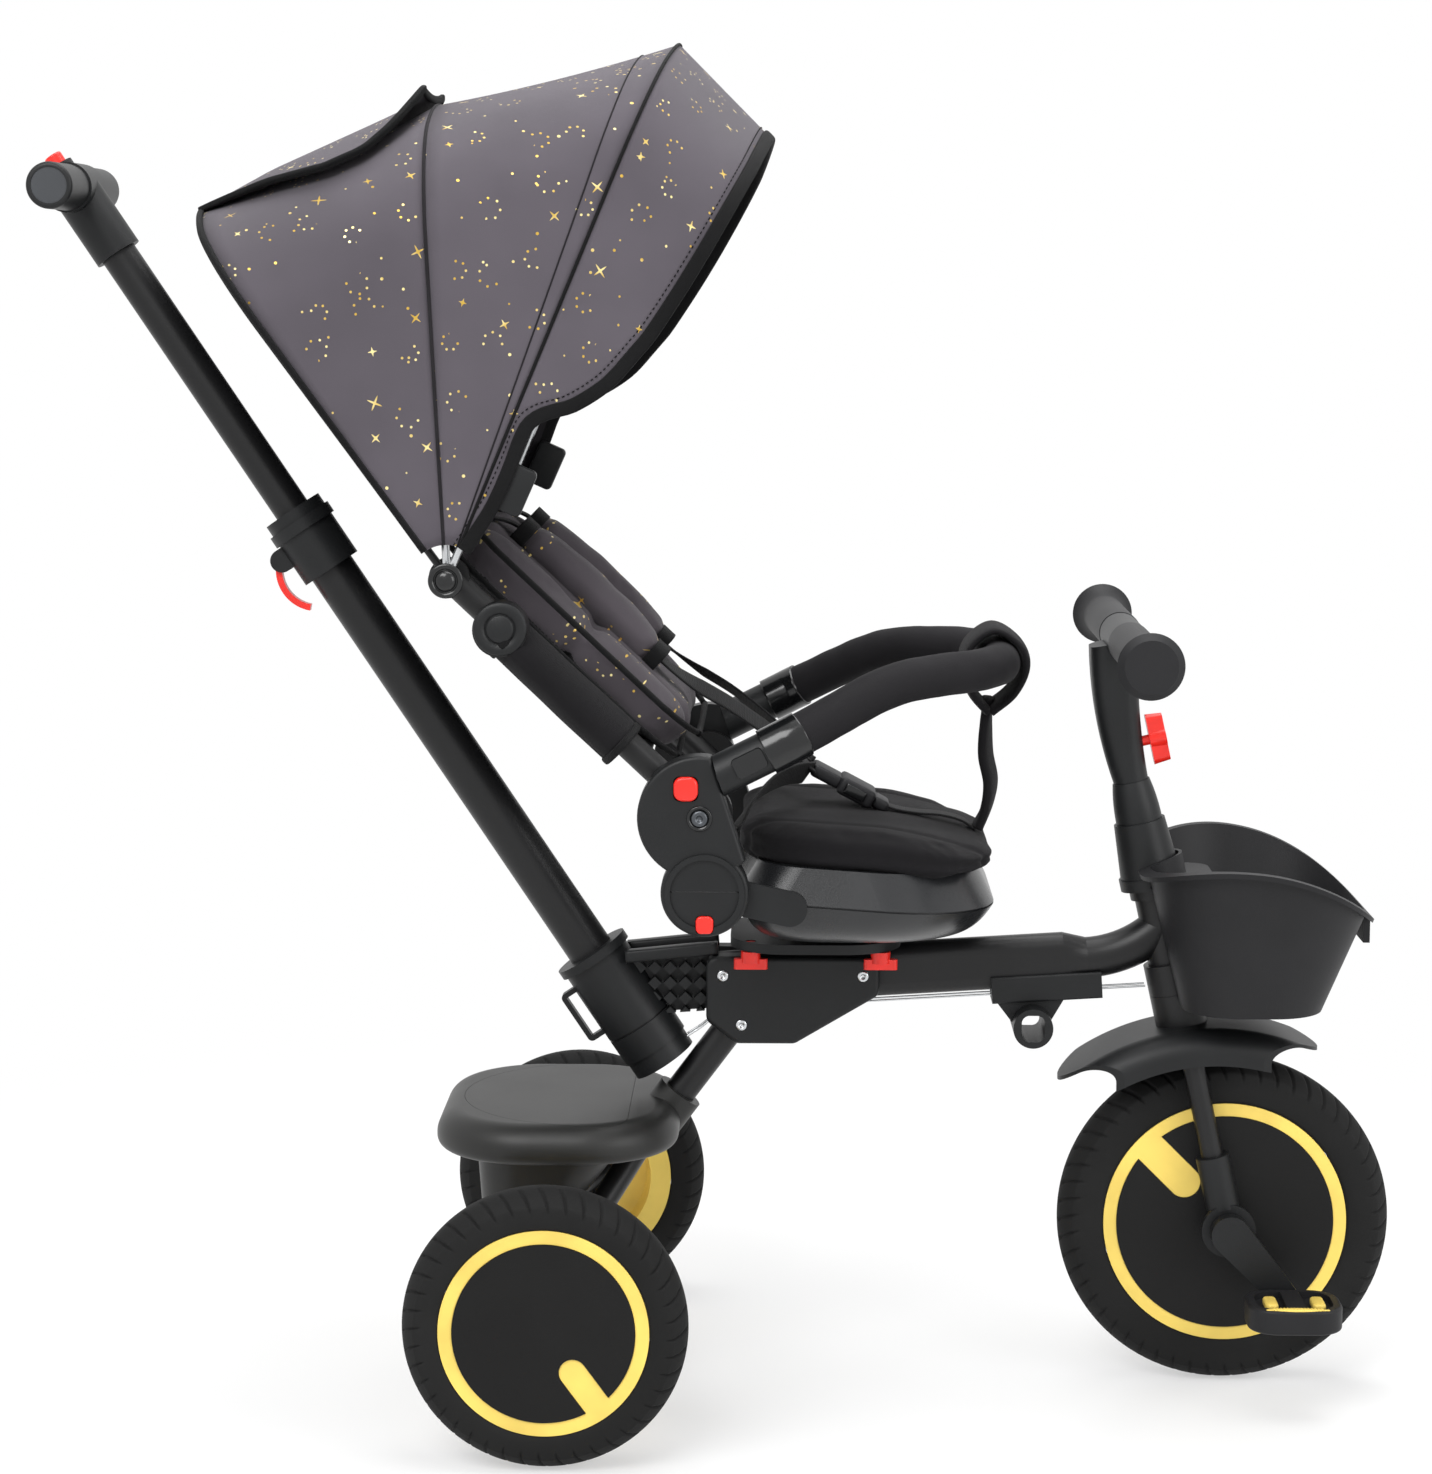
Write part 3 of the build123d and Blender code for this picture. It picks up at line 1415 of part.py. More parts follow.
grip_mid = push_foot + push_up * grip_along
button_len = button_depth + button_proud
with BuildPart() as push_handle:
    with BuildSketch(push_plane.offset(grip_along - sleeve_len)):
        Circle(sleeve_r)
    extrude(amount=sleeve_len)
    with BuildSketch(side_plane(grip_mid)):
        Circle(grip_r)
    extrude(amount=grip_half, both=True)
    fillet(faces().filter_by(Axis.Y).edges().filter_by(GeomType.CIRCLE), grip_edge_r)
    with BuildSketch(side_plane(grip_mid)):
        Circle(grip_r + saddle_proud)
    extrude(amount=saddle_half, both=True)
    with BuildSketch(push_plane.offset(grip_along)):
        Circle(button_hub_r)
    extrude(amount=grip_r + button_hub_proud)
    with BuildSketch(side_plane(grip_mid)):
        Circle(grip_cap_r)
    extrude(amount=grip_half, both=True, mode=Mode.SUBTRACT)
    with BuildSketch(side_plane(grip_mid)):
        Circle(grip_cap_r)
    extrude(amount=grip_half - grip_cap_t, both=True)
    with BuildSketch(push_plane.offset(grip_along - sleeve_len)):
        Circle(up_tube_r + seam)
    extrude(amount=sleeve_len - grip_r, mode=Mode.SUBTRACT)
    with BuildSketch(push_plane.offset(grip_along + grip_r + button_hub_proud)):
        Circle(button_r + fit)
    extrude(amount=-button_depth - button_press - gap, mode=Mode.SUBTRACT)
keep(push_handle, "push_handle")

with BuildPart() as grip_caps:
    for outward in (-1, 1):
        with BuildSketch(side_plane(grip_mid + Vector(0, outward * (grip_half - grip_cap_t), 0), outward)):
            Circle(grip_cap_r - seam)
        extrude(amount=grip_cap_t - grip_cap_sunk)
keep(grip_caps, "grip_caps")

with BuildPart() as grip_button:
    with BuildSketch(push_plane.offset(grip_along + grip_r + button_hub_proud - button_depth)):
        Circle(button_r)
    extrude(amount=button_len)
    fillet(edges().group_by(Axis(push_foot, push_up))[-1], button_edge_r)
keep(grip_button, "grip_button")

# Turning plate under the seat, with its spigot in the swivel base
turn_plate_z = swivel_plate_z + swivel_plate_t + gap
with BuildPart() as turn_plate:
    with BuildSketch(Plane.XY.offset(turn_plate_z)):
        with Locations((turn_x, 0)):
            Circle(turn_plate_r)
    extrude(amount=turn_plate_t)
    with BuildSketch(Plane.XY.offset(turn_plate_z)):
        with Locations((turn_x, 0)):
            Circle(spigot_r)
    extrude(amount=-spigot_len)
keep(turn_plate, "turn_plate")


def seat_outline(length, width, front_r, rear_r):
    """Seat plan: broad rear corners and a rounder front."""
    with BuildSketch() as outline:
        Rectangle(length, width)
        fillet(vertices().group_by(Axis.X)[-1], front_r)
        fillet(vertices().group_by(Axis.X)[0], rear_r)
    return outline.sketch


# Seat shell in two halves that meet at a tilted seam
seat_foot_z = turn_plate_z + turn_plate_t
with BuildPart() as seat_lower:
    with BuildSketch(Plane.XY.offset(seat_foot_z)):
        with Locations((rear_x + seat_mid, 0)):
            add(seat_outline(seat_foot_len, seat_foot_w, seat_foot_r, seat_foot_r))
    with BuildSketch(seat_mid_plane):
        add(seat_outline(seat_mid_len, seat_mid_w, seat_front_r, seat_rear_r))
    with BuildSketch(seat_seam_plane):
        add(seat_outline(seat_len, seat_w, seat_front_r, seat_rear_r))
    loft()
    with BuildSketch(Plane.XY.offset(seat_foot_z)):
        with Locations((rear_x + seat_mid, 0)):
            Rectangle(seat_len, seat_w)
    extrude(amount=-turn_plate_t, mode=Mode.SUBTRACT)
keep(seat_lower, "seat_lower")

with BuildPart() as seat_upper:
    with BuildSketch(seat_seam_plane.offset(seat_seam_gap)):
        add(seat_outline(seat_len, seat_w, seat_front_r, seat_rear_r))
    with BuildSketch(seat_seam_plane.offset(seat_rise)):
        add(seat_outline(seat_top_len, seat_top_w, seat_front_r - seat_seam_inset, seat_rear_r))
    loft()
    with BuildSketch(seat_seam_plane):
        add(
            seat_outline(
                seat_len - 2 * seat_seam_inset,
                seat_w - 2 * seat_seam_inset,
                seat_front_r - seat_seam_inset,
                seat_rear_r - seat_seam_inset,
            )
        )
    extrude(amount=seat_seam_gap)
keep(seat_upper, "seat_upper")

# Seat cushion: a crowned pad with drawn-in edges
with BuildPart() as seat_cushion:
    for level, inset in ((seam, cushion_foot_inset), (cushion_mid_h, 0), (cushion_t, cushion_top_inset)):
        with BuildSketch(seat_seam_plane.offset(seat_rise + level)):
            with Locations((cushion_shift, 0)):
                RectangleRounded(
                    cushion_len - 2 * inset, cushion_w - 2 * inset, cushion_r - inset / 2
                )
    loft()
keep(seat_cushion, "seat_cushion")

# Ears at the sides of the seat: recline plate, lower disc, foot and bumper spigot
ear_cut_at = recline + lean(ear_cut_angle) * ear_cut
ear_cut_mid = lean(ear_cut_angle) * (ear_cut + ear_r)
bumper_dir = lean(bumper_angle)
bumper_root = ahead(bumper_root_x, bumper_root_z, -bumper_y)
recline_button_at = (recline_x - recline_button_back, recline_z + recline_button_up)
disc_button_at = (ear_disc_x, ear_disc_z - disc_button_drop)
ear_plane = side_plane(ahead(0, 0, -ear_in))
ear_face = ear_plane.offset(ear_t)
with BuildSketch() as ear_foot_shape:
    with Locations((ear_disc_x, ear_disc_z), (ear_foot_x, ear_foot_z)):
        Circle(ear_foot_r)
    make_hull()
with BuildPart() as seat_ears:
    with BuildSketch(ear_plane):
        with Locations((recline_x, recline_z)):
            Circle(ear_r)
        with Locations(Location((recline_x + ear_cut_mid.X, recline_z + ear_cut_mid.Z), ear_cut_angle)):
            Rectangle(2 * ear_r, 4 * ear_r, mode=Mode.SUBTRACT)
        with Locations((ear_disc_x, ear_disc_z)):
            Circle(ear_disc_r)
    extrude(amount=ear_t)
    fillet(faces().sort_by(Axis.Y)[0].edges(), ear_edge_r)
    with BuildSketch(ear_plane):
        add(ear_foot_shape.sketch)
    extrude(amount=ear_foot_t)
    with BuildSketch(ear_plane):
        with Locations((ear_foot_x, ear_foot_z)):
            Circle(ear_foot_r)
    extrude(amount=seat_w / 2 + seam - ear_in)
    with BuildSketch(ear_face):
        with Locations((ear_disc_x, ear_disc_z)):
            Circle(ear_disc_r - ear_edge_r)
            Circle(ear_disc_r - ear_edge_r - ear_disc_rim, mode=Mode.SUBTRACT)
    extrude(amount=ear_disc_proud)
    with BuildSketch(ear_plane):
        with Locations((recline_x, recline_z)):
            Circle(recline_pin_r)
    extrude(amount=-back_lug_t - 2 * gap)
    with BuildSketch(ear_face.offset(ear_disc_proud)):
        with Locations(recline_button_at):
            RectangleRounded(recline_button_w + 2 * gap, recline_button_w + 2 * gap, recline_button_r)
        with Locations(disc_button_at):
            RectangleRounded(disc_button_w + 2 * gap, disc_button_h + 2 * gap, disc_button_r)
    extrude(amount=-side_button_depth - ear_disc_proud, mode=Mode.SUBTRACT)
    with BuildSketch(square_to(bumper_root - bumper_dir * bumper_root_back, bumper_dir)):
        Circle(bumper_spigot_r)
    extrude(amount=bumper_root_back + bumper_spigot_len)
    mirror(about=Plane.XZ)
keep(seat_ears, "seat_ears")

# Push buttons of the ears
button_floor = side_button_depth - side_button_press - gap
for outward, side in ((-1, "right"), (1, "left")):
    with BuildPart() as recline_button:
        with BuildSketch(side_plane(ahead(0, 0, outward * (ear_in + ear_t - button_floor)), outward)):
            with Locations((-outward * recline_button_at[0], recline_button_at[1])):
                RectangleRounded(recline_button_w, recline_button_w, recline_button_r)
        extrude(amount=button_floor + side_button_proud)
        fillet(faces().sort_by(Axis.Y)[-1 if outward > 0 else 0].edges(), button_edge_r)
    keep(recline_button, f"recline_button_{side}")
    with BuildPart() as disc_button:
        with BuildSketch(side_plane(ahead(0, 0, outward * (ear_in + ear_t - button_floor)), outward)):
            with Locations((-outward * disc_button_at[0], disc_button_at[1])):
                RectangleRounded(disc_button_w, disc_button_h, disc_button_r)
        extrude(amount=button_floor + side_button_proud)
        fillet(faces().sort_by(Axis.Y)[-1 if outward > 0 else 0].edges(), button_edge_r)
    keep(disc_button, f"disc_button_{side}")

# Bumper: plastic end pieces that slip over the spigots, and the foam-covered bar
pad_plane = Plane(
    origin=bumper_root + bumper_dir * pad_button_at + Vector(0, -bumper_end_r, 0),
    x_dir=bumper_dir,
    z_dir=(0, -1, 0),
)
with BuildPart() as bumper_ends:
    with BuildSketch(square_to(bumper_root - bumper_dir * bumper_end_r, bumper_dir)):
        Circle(bumper_end_r)
    extrude(amount=bumper_end_r + bumper_end_len)
    with BuildSketch(Plane(origin=ear_cut_at + lean(ear_cut_angle) * gap, z_dir=lean(ear_cut_angle))):
        Rectangle(4 * bumper_y, 4 * bumper_y)
    extrude(amount=-4 * bumper_end_r, mode=Mode.SUBTRACT)
    with BuildSketch(square_to(bumper_root - bumper_dir * bumper_end_r, bumper_dir)):
        Circle(bumper_spigot_r + fit)
    extrude(amount=bumper_end_r + bumper_spigot_len + gap, mode=Mode.SUBTRACT)
    with BuildSketch(pad_plane):
        RectangleRounded(pad_button_len + 2 * gap, pad_button_w + 2 * gap, pad_button_corner_r)
    extrude(amount=-pad_button_depth, mode=Mode.SUBTRACT)
    mirror(about=Plane.XZ)
keep(bumper_ends, "bumper_ends")

pad_plane_left = Plane(
    origin=pad_plane.origin + Vector(0, 2 * (bumper_y + bumper_end_r), 0), x_dir=-bumper_dir, z_dir=(0, 1, 0)
)
pad_sunk = pad_button_depth - pad_button_press - gap
for side, face in (("right", pad_plane), ("left", pad_plane_left)):
    with BuildPart() as bumper_button:
        with BuildSketch(face.offset(-pad_sunk)):
            RectangleRounded(pad_button_len, pad_button_w, pad_button_corner_r)
        extrude(amount=pad_sunk + pad_button_proud)
    keep(bumper_button, f"bumper_button_{side}")

bumper_start = bumper_root + bumper_dir * bumper_end_len
bumper_turn = bumper_root + bumper_dir * bumper_straight
bumper_bend = ahead(bumper_bend_x, bumper_bend_z, -bumper_bend_y)
bumper_corner = ahead(bumper_front_x, bumper_front_z, -bumper_front_y)
bumper_half = [bumper_start, bumper_turn, bumper_bend, bumper_corner]
with BuildPart() as bumper_bar:
    with BuildLine() as bumper_line:
        FilletPolyline(
            *[(p.X, p.Y, p.Z) for p in bumper_half],
            *[(p.X, -p.Y, p.Z) for p in reversed(bumper_half)],
            radius=bumper_bend_r,
        )
    with BuildSketch(square_to(bumper_start, bumper_dir)):
        Circle(bumper_foam_r)
    sweep(path=bumper_line.wires()[0])
keep(bumper_bar, "bumper_bar")


def hood_plane(angle):
    """Plane through the canopy pivot, tipped to an angle in the side view."""
    return Plane(origin=canopy_pivot, x_dir=(0, 1, 0), z_dir=lean(angle - 90))


def hood_turn(half_w, reach, grow=0.0):
    """Level where the side of a hoop starts to bend, and the angle where that bend ends."""
    corner_r = bow_corner_r + grow
    crown_r = bow_crown_r + grow
    across = half_w - corner_r
    rise = ((crown_r - corner_r) ** 2 - across**2) ** 0.5
    return reach - crown_r + rise, 180 - degrees(atan2(rise, across))


def bow(angle, half_w, reach):
    """Round wire hoop of the canopy, from pivot to pivot."""
    bend_from, bend_end = hood_turn(half_w, reach)
    with BuildPart() as hoop:
        with BuildLine(hood_plane(angle)) as hoop_line:
            Line((-half_w, 0), (-half_w, bend_from))
            CenterArc((bow_corner_r - half_w, bend_from), bow_corner_r, 180, bend_end - 180)
            CenterArc((0, reach - bow_crown_r), bow_crown_r, bend_end, 90 - bend_end)
        with BuildSketch(square_to(canopy_pivot + Vector(0, -half_w, 0), lean(angle))):
            Circle(bow_r)
        sweep(path=hoop_line.wires()[0])
        mirror(about=Plane.XZ)
    return hoop.part


def hood_face(half_w, reach, root, grow):
    """Closed section of the hood, from its lower edge up and over."""
    bend_from, bend_end = hood_turn(half_w, reach, grow)
    corner_r = bow_corner_r + grow
    crown_r = bow_crown_r + grow
    with BuildSketch() as section:
        with BuildLine():
            Line((-half_w, root), (-half_w, bend_from))
            CenterArc((corner_r - half_w, bend_from), corner_r, 180, bend_end - 180)
            CenterArc((0, reach - crown_r), crown_r, bend_end, 180 - 2 * bend_end)
            CenterArc((half_w - corner_r, bend_from), corner_r, 180 - bend_end, bend_end - 180)
            Line((half_w, bend_from), (half_w, root))
            Line((half_w, root), (-half_w, root))
        make_face()
    return section.sketch


# Backrest frame: lugs, tubes, joint discs, rails and the fixed rear bow
mid_bow_y = rear_bow_y + bow_layer
front_bow_y = mid_bow_y + bow_layer
pin_from = rear_bow_y + bow_r + gap
cap_from = front_bow_y + bow_r + gap
joint_at = recline + back_up * back_joint_along
with BuildPart() as backrest_frame:
    with BuildSketch(side_plane(recline + Vector(0, -back_lug_in, 0))):
        Circle(back_lug_r)
    extrude(amount=back_lug_t)
    with BuildSketch(square_to(recline + Vector(0, -back_tube_y, 0), back_up)):
        Circle(back_tube_r)
    extrude(amount=pivot_along)
    with BuildSketch(side_plane(joint_at + Vector(0, -back_joint_in, 0))):
        Circle(back_joint_r)
    extrude(amount=back_joint_out - back_joint_in)
    with BuildSketch(side_plane(canopy_pivot + Vector(0, -back_tube_y, 0))):
        Circle(pivot_boss_r)
    extrude(amount=pivot_boss_out - back_tube_y)
    with BuildSketch(side_plane(canopy_pivot + Vector(0, -back_tube_y, 0))):
        Circle(bow_eye_r)
    extrude(amount=pin_from - back_tube_y)
    with BuildSketch(side_plane(canopy_pivot + Vector(0, -back_tube_y, 0))):
        Circle(pivot_pin_r)
    extrude(amount=cap_from - back_tube_y)
    with BuildSketch(side_plane(canopy_pivot + Vector(0, -cap_from, 0))):
        Circle(pivot_cap_r)
    extrude(amount=pivot_cap_t)
    with BuildSketch(side_plane(recline + Vector(0, -back_lug_in - back_lug_t, 0))):
        Circle(recline_pin_r + fit)
    extrude(amount=-back_lug_t - 3 * gap, mode=Mode.SUBTRACT)
    with BuildSketch(side_plane(recline + back_up * back_rail_low), side_plane(canopy_pivot)):
        Circle(back_rail_r)
    extrude(amount=back_tube_y)
    mirror(about=Plane.XZ)
    add(bow(rear_bow_angle, rear_bow_y, rear_bow_reach))
keep(backrest_frame, "backrest_frame")

# Backrest pad and shoulder pads
with BuildPart() as backrest_pad:
    for level, inset in ((0, pad_foot_inset), (pad_mid_h, 0), (pad_t, pad_inset)):
        with BuildSketch(back_plane.offset(pad_rest + level)):
            with Locations((0, pad_from + pad_len / 2)):
                RectangleRounded(pad_w - 2 * inset, pad_len - 2 * inset, pad_r - inset / 2)
    loft()
keep(backrest_pad, "backrest_pad")

with BuildPart() as shoulder_pads:
    for level, inset in ((seam, 0), (shoulder_t / 2, 0), (shoulder_t, shoulder_inset)):
        with BuildSketch(back_plane.offset(pad_rest + pad_t + level)):
            with Locations((-shoulder_y, shoulder_from + shoulder_len / 2)):
                RectangleRounded(
                    shoulder_w - 2 * inset, shoulder_len - 2 * inset, shoulder_r - inset
                )
    loft(ruled=True)
    mirror(about=Plane.XZ)
keep(shoulder_pads, "shoulder_pads")

# Canopy bows that turn on the pins
for name, angle, half_w, reach in (
    ("bow_mid", mid_bow_angle, mid_bow_y, mid_bow_reach),
    ("bow_front", front_bow_angle, front_bow_y, front_bow_reach),
):
    with BuildPart() as canopy_bow:
        with BuildSketch(side_plane(canopy_pivot + Vector(0, -half_w + bow_eye_t / 2, 0))):
            Circle(bow_eye_r)
        extrude(amount=bow_eye_t)
        mirror(about=Plane.XZ)
        add(bow(angle, half_w, reach))
        with BuildSketch(side_plane(canopy_pivot)):
            Circle(pivot_pin_r + fit)
        extrude(amount=2 * half_w, both=True, mode=Mode.SUBTRACT)
    keep(canopy_bow, name)

# Canopy fabric: a hood over the bows, cut to its side profile
hood_in = front_bow_y + bow_r + fabric_off
hood_bows = (
    (rear_bow_angle, rear_bow_reach),
    (mid_bow_angle, mid_bow_reach),
    (front_bow_angle, front_bow_reach),
    (visor_angle, visor_reach),
)
hood_lift = bow_r + fabric_off
hood_profile = (
    (0, flank_angle),
    (flank_reach, flank_angle),
    (notch_reach, notch_angle),
    (turn_reach, turn_angle),
    (corner_reach, corner_angle),
    (visor_tip_reach, tip_angle),
    (2 * front_bow_reach, tip_angle),
    (2 * front_bow_reach, mid_bow_angle),
    (2 * front_bow_reach, rear_bow_angle + fabric_root),
)
with BuildPart() as hood_core:
    for angle, reach in hood_bows:
        behind = hood_lift if angle == rear_bow_angle else 0
        with BuildSketch(hood_plane(angle).offset(-behind)):
            add(hood_face(hood_in, reach + hood_lift, fabric_root / 2, hood_lift))
    loft(ruled=True)

with BuildPart() as canopy_fabric:
    for angle, reach in hood_bows:
        behind = hood_lift + fabric_t if angle == rear_bow_angle else 0
        with BuildSketch(hood_plane(angle).offset(-behind)):
            add(
                hood_face(
                    hood_in + fabric_t, reach + hood_lift + fabric_t, fabric_root, hood_lift + fabric_t
                )
            )
    loft(ruled=True)
    add(hood_core.part, mode=Mode.SUBTRACT)
    with BuildSketch(Plane.XZ):
        with BuildLine():
            Polyline(
                *[
                    (canopy_pivot.X + (lean(angle) * reach).X, canopy_pivot.Z + (lean(angle) * reach).Z)
                    for reach, angle in hood_profile
                ],
                close=True,
            )
        make_face()
    extrude(amount=2 * hood_in, both=True, mode=Mode.INTERSECT)
keep(canopy_fabric, "canopy_fabric")
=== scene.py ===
"""Studio dressing for a child's push tricycle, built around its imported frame. All lengths are in metres."""

import json
import math

import bmesh
import bpy
import numpy as np
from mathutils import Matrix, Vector


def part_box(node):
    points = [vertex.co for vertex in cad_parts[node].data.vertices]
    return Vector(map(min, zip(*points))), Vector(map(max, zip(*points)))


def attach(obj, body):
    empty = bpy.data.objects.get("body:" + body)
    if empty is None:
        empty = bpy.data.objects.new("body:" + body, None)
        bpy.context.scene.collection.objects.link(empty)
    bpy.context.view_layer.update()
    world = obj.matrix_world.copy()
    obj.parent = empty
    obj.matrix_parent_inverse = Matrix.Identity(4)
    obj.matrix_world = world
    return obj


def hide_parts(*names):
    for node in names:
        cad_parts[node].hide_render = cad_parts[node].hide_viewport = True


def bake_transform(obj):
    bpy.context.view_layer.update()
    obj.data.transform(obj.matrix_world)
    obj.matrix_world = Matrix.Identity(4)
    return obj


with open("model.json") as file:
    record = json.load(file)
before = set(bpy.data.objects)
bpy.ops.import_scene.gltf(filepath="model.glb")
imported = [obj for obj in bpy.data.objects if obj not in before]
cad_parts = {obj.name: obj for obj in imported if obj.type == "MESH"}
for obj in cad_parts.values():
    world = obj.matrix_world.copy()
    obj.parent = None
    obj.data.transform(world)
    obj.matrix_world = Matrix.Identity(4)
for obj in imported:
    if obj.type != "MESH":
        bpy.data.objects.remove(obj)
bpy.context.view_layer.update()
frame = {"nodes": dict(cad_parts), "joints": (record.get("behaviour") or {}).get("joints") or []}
nodes = frame["nodes"]
scene = bpy.context.scene
joint_at = {j["name"]: Vector(j["pos_m"]) for j in frame["joints"] if "pos_m" in j}

rear_hub = joint_at["right_rear_spin"]
recline = joint_at["back_raise"]
hood_pivot = joint_at["hood_mid_fold"]
left = Vector((0, 1, 0))
upward = Vector((0, 0, 1))
both_sides = ((-1, "Right"), (1, "Left"))


def lean(angle):
    """Direction in the side view, from forward towards up."""
    return Vector((math.cos(math.radians(angle)), 0, math.sin(math.radians(angle))))


def ahead(x, y, z):
    """Point at x forward of the rear axle, y to the left and z above the floor."""
    return Vector((rear_hub.x + x, y, z))


def line_ahead(*places):
    return [ahead(*place) for place in places]


def mirrored(points):
    """The same points on the other side, in reverse order."""
    return [Vector((p.x, -p.y, p.z)) for p in points[::-1]]


def middle_of(node):
    low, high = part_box(node)
    return (Vector(low) + Vector(high)) / 2


back_angle = 43.4
back_up = lean(180 - back_angle)
back_front = lean(90 - back_angle)


def on_back(along, y, out):
    """Point on the backrest: along it from the recline pivot, to the left, and out of its front."""
    return recline + back_up * along + left * y + back_front * out


# Shader kit


class Wire:
    """A shader socket that can be used in sums."""

    def __init__(self, kit, socket):
        self.kit = kit
        self.socket = socket

    def math(self, operation, *others):
        return self.kit.math(operation, self, *others)

    def __add__(self, other):
        return self.math("ADD", other)

    def __sub__(self, other):
        return self.math("SUBTRACT", other)

    def __rsub__(self, other):
        return self.kit.math("SUBTRACT", other, self)

    def __mul__(self, other):
        return self.math("MULTIPLY", other)

    def __lt__(self, other):
        return self.math("LESS_THAN", other)

    def __gt__(self, other):
        return self.math("GREATER_THAN", other)

    __radd__ = __add__
    __rmul__ = __mul__

    def rise(self, low, high):
        """0 below low, 1 above high, smooth between."""
        inputs = {"Value": self, "From Min": low, "From Max": high}
        return self.kit.node("ShaderNodeMapRange", {"interpolation_type": "SMOOTHSTEP"}, inputs)["Result"]


class ShaderKit:
    """A shader tree and the few calls that build one."""

    def __init__(self, tree):
        self.tree = tree

    def node(self, kind, settings=None, inputs=None):
        """Add a node and give its outputs by name."""
        made = self.tree.nodes.new(kind)
        for key, value in (settings or {}).items():
            setattr(made, key, value)
        for key, value in (inputs or {}).items():
            self.feed(made.inputs[key], value)
        return {socket.name: Wire(self, socket) for socket in made.outputs if socket.enabled}

    def feed(self, socket, value):
        if isinstance(value, Wire):
            self.tree.links.new(value.socket, socket)
        elif isinstance(value, tuple) and len(value) == 3 and socket.type == "RGBA":
            socket.default_value = (*value, 1.0)
        else:
            socket.default_value = value

    def math(self, operation, *values):
        return self.node("ShaderNodeMath", {"operation": operation}, dict(enumerate(values)))["Value"]

    def place(self):
        return self.node("ShaderNodeTexCoord")["Object"]

    def uv(self):
        return self.node("ShaderNodeTexCoord")["UV"]

    def parts(self, vector):
        return self.node("ShaderNodeSeparateXYZ", None, {0: vector}).values()

    def joined(self, **parts):
        return self.node("ShaderNodeCombineXYZ", None, parts)["Vector"]

    def noise(self, scale, detail=2.0, vector=None):
        inputs = {"Vector": vector or self.place(), "Scale": scale, "Detail": detail}
        return self.node("ShaderNodeTexNoise", None, inputs)["Fac"]

    def mix(self, first, second, share):
        """Colour between two, by a share."""
        inputs = {"Factor": share, 6: first, 7: second}
        return self.node("ShaderNodeMix", {"data_type": "RGBA"}, inputs)["Result"]

    def tones(self, colour, dark, light, share):
        """Colour between a darker and a lighter tone of one colour, by a share."""
        low, high = (tuple(min(1.0, c * factor) for c in colour) for factor in (dark, light))
        return self.mix(low, high, share)


class Finish(ShaderKit):
    """A procedural material."""

    socket_names = {"base": "Base Color", "sheen": "Sheen Weight", "specular": "Specular IOR Level"}

    def __init__(self, name):
        self.material = bpy.data.materials.new(name)
        self.material.use_nodes = True
        super().__init__(self.material.node_tree)
        self.skin = self.tree.nodes["Principled BSDF"]

    def bump(self, height, depth):
        inputs = {"Height": height, "Distance": depth, "Strength": 1.0}
        self.skin_set(normal=self.node("ShaderNodeBump", None, inputs)["Normal"])

    def skin_set(self, **values):
        for key, value in values.items():
            self.feed(self.skin.inputs[self.socket_names.get(key, key.capitalize())], value)


def shade(hex_colour):
    """Linear colour of an sRGB hex code."""
    channels = [int(hex_colour[i : i + 2], 16) / 255 for i in (1, 3, 5)]
    return tuple(c / 12.92 if c <= 0.04045 else ((c + 0.055) / 1.055) ** 2.4 for c in channels)


# Finishes


def moulded_plastic(name, colour, roughness=0.42, grain=0.00006, specular=0.28):
    """Injection-moulded plastic with a fine spark-eroded grain."""
    finish = Finish(name)
    patches = finish.noise(18.0, 3.0)
    sparkle = finish.noise(1900.0, 1.0)
    finish.skin_set(
        base=finish.tones(colour, 0.9, 1.12, patches.rise(0.3, 0.7)),
        roughness=roughness - 0.06 + patches * 0.08 + sparkle * 0.06,
        specular=specular,
    )
    finish.bump(sparkle + finish.noise(520.0, 1.0) * 0.6, grain)
    return finish.material


def gloss_plastic(name, colour, roughness):
    """Polished plastic with faint flow marks."""
    finish = Finish(name)
    flow = finish.noise(40.0)
    finish.skin_set(
        base=finish.tones(colour, 0.94, 1.06, flow.rise(0.35, 0.65)),
        roughness=roughness + flow * 0.06,
    )
    finish.bump(flow, 0.00004)
    return finish.material


def satin_paint(name, colour):
    """Powder coat: a soft orange peel."""
    finish = Finish(name)
    peel = finish.noise(700.0)
    wear = finish.noise(9.0, 4.0)
    finish.skin_set(
        base=finish.tones(colour, 1.0, 1.3, wear.rise(0.45, 0.75)),
        roughness=0.3 + wear * 0.1 + peel * 0.05,
        specular=0.35,
    )
    finish.bump(peel, 0.00005)
    return finish.material


def bare_metal(name, colour, roughness=0.22):
    """Metal with fine brushed lines."""
    finish = Finish(name)
    x, y, z = finish.parts(finish.place())
    lines = finish.noise(900.0, 2.0, finish.joined(X=x * 4.0, Y=y, Z=z * 4.0))
    finish.skin_set(
        base=finish.tones(colour, 0.85, 1.0, lines),
        roughness=roughness + lines * 0.12,
        metallic=1.0,
    )
    return finish.material


def foam_rubber(name, colour, cell=1400.0, depth=0.00012):
    """Closed-cell foam: matt, with tiny pores."""
    finish = Finish(name)
    pores = finish.noise(cell)
    bloom = finish.noise(14.0, 3.0)
    finish.skin_set(
        base=finish.tones(colour, 1.0, 1.6, bloom.rise(0.35, 0.8) * 0.6),
        roughness=0.78 - pores * 0.1,
        specular=0.15,
    )
    finish.bump(pores, depth)
    return finish.material


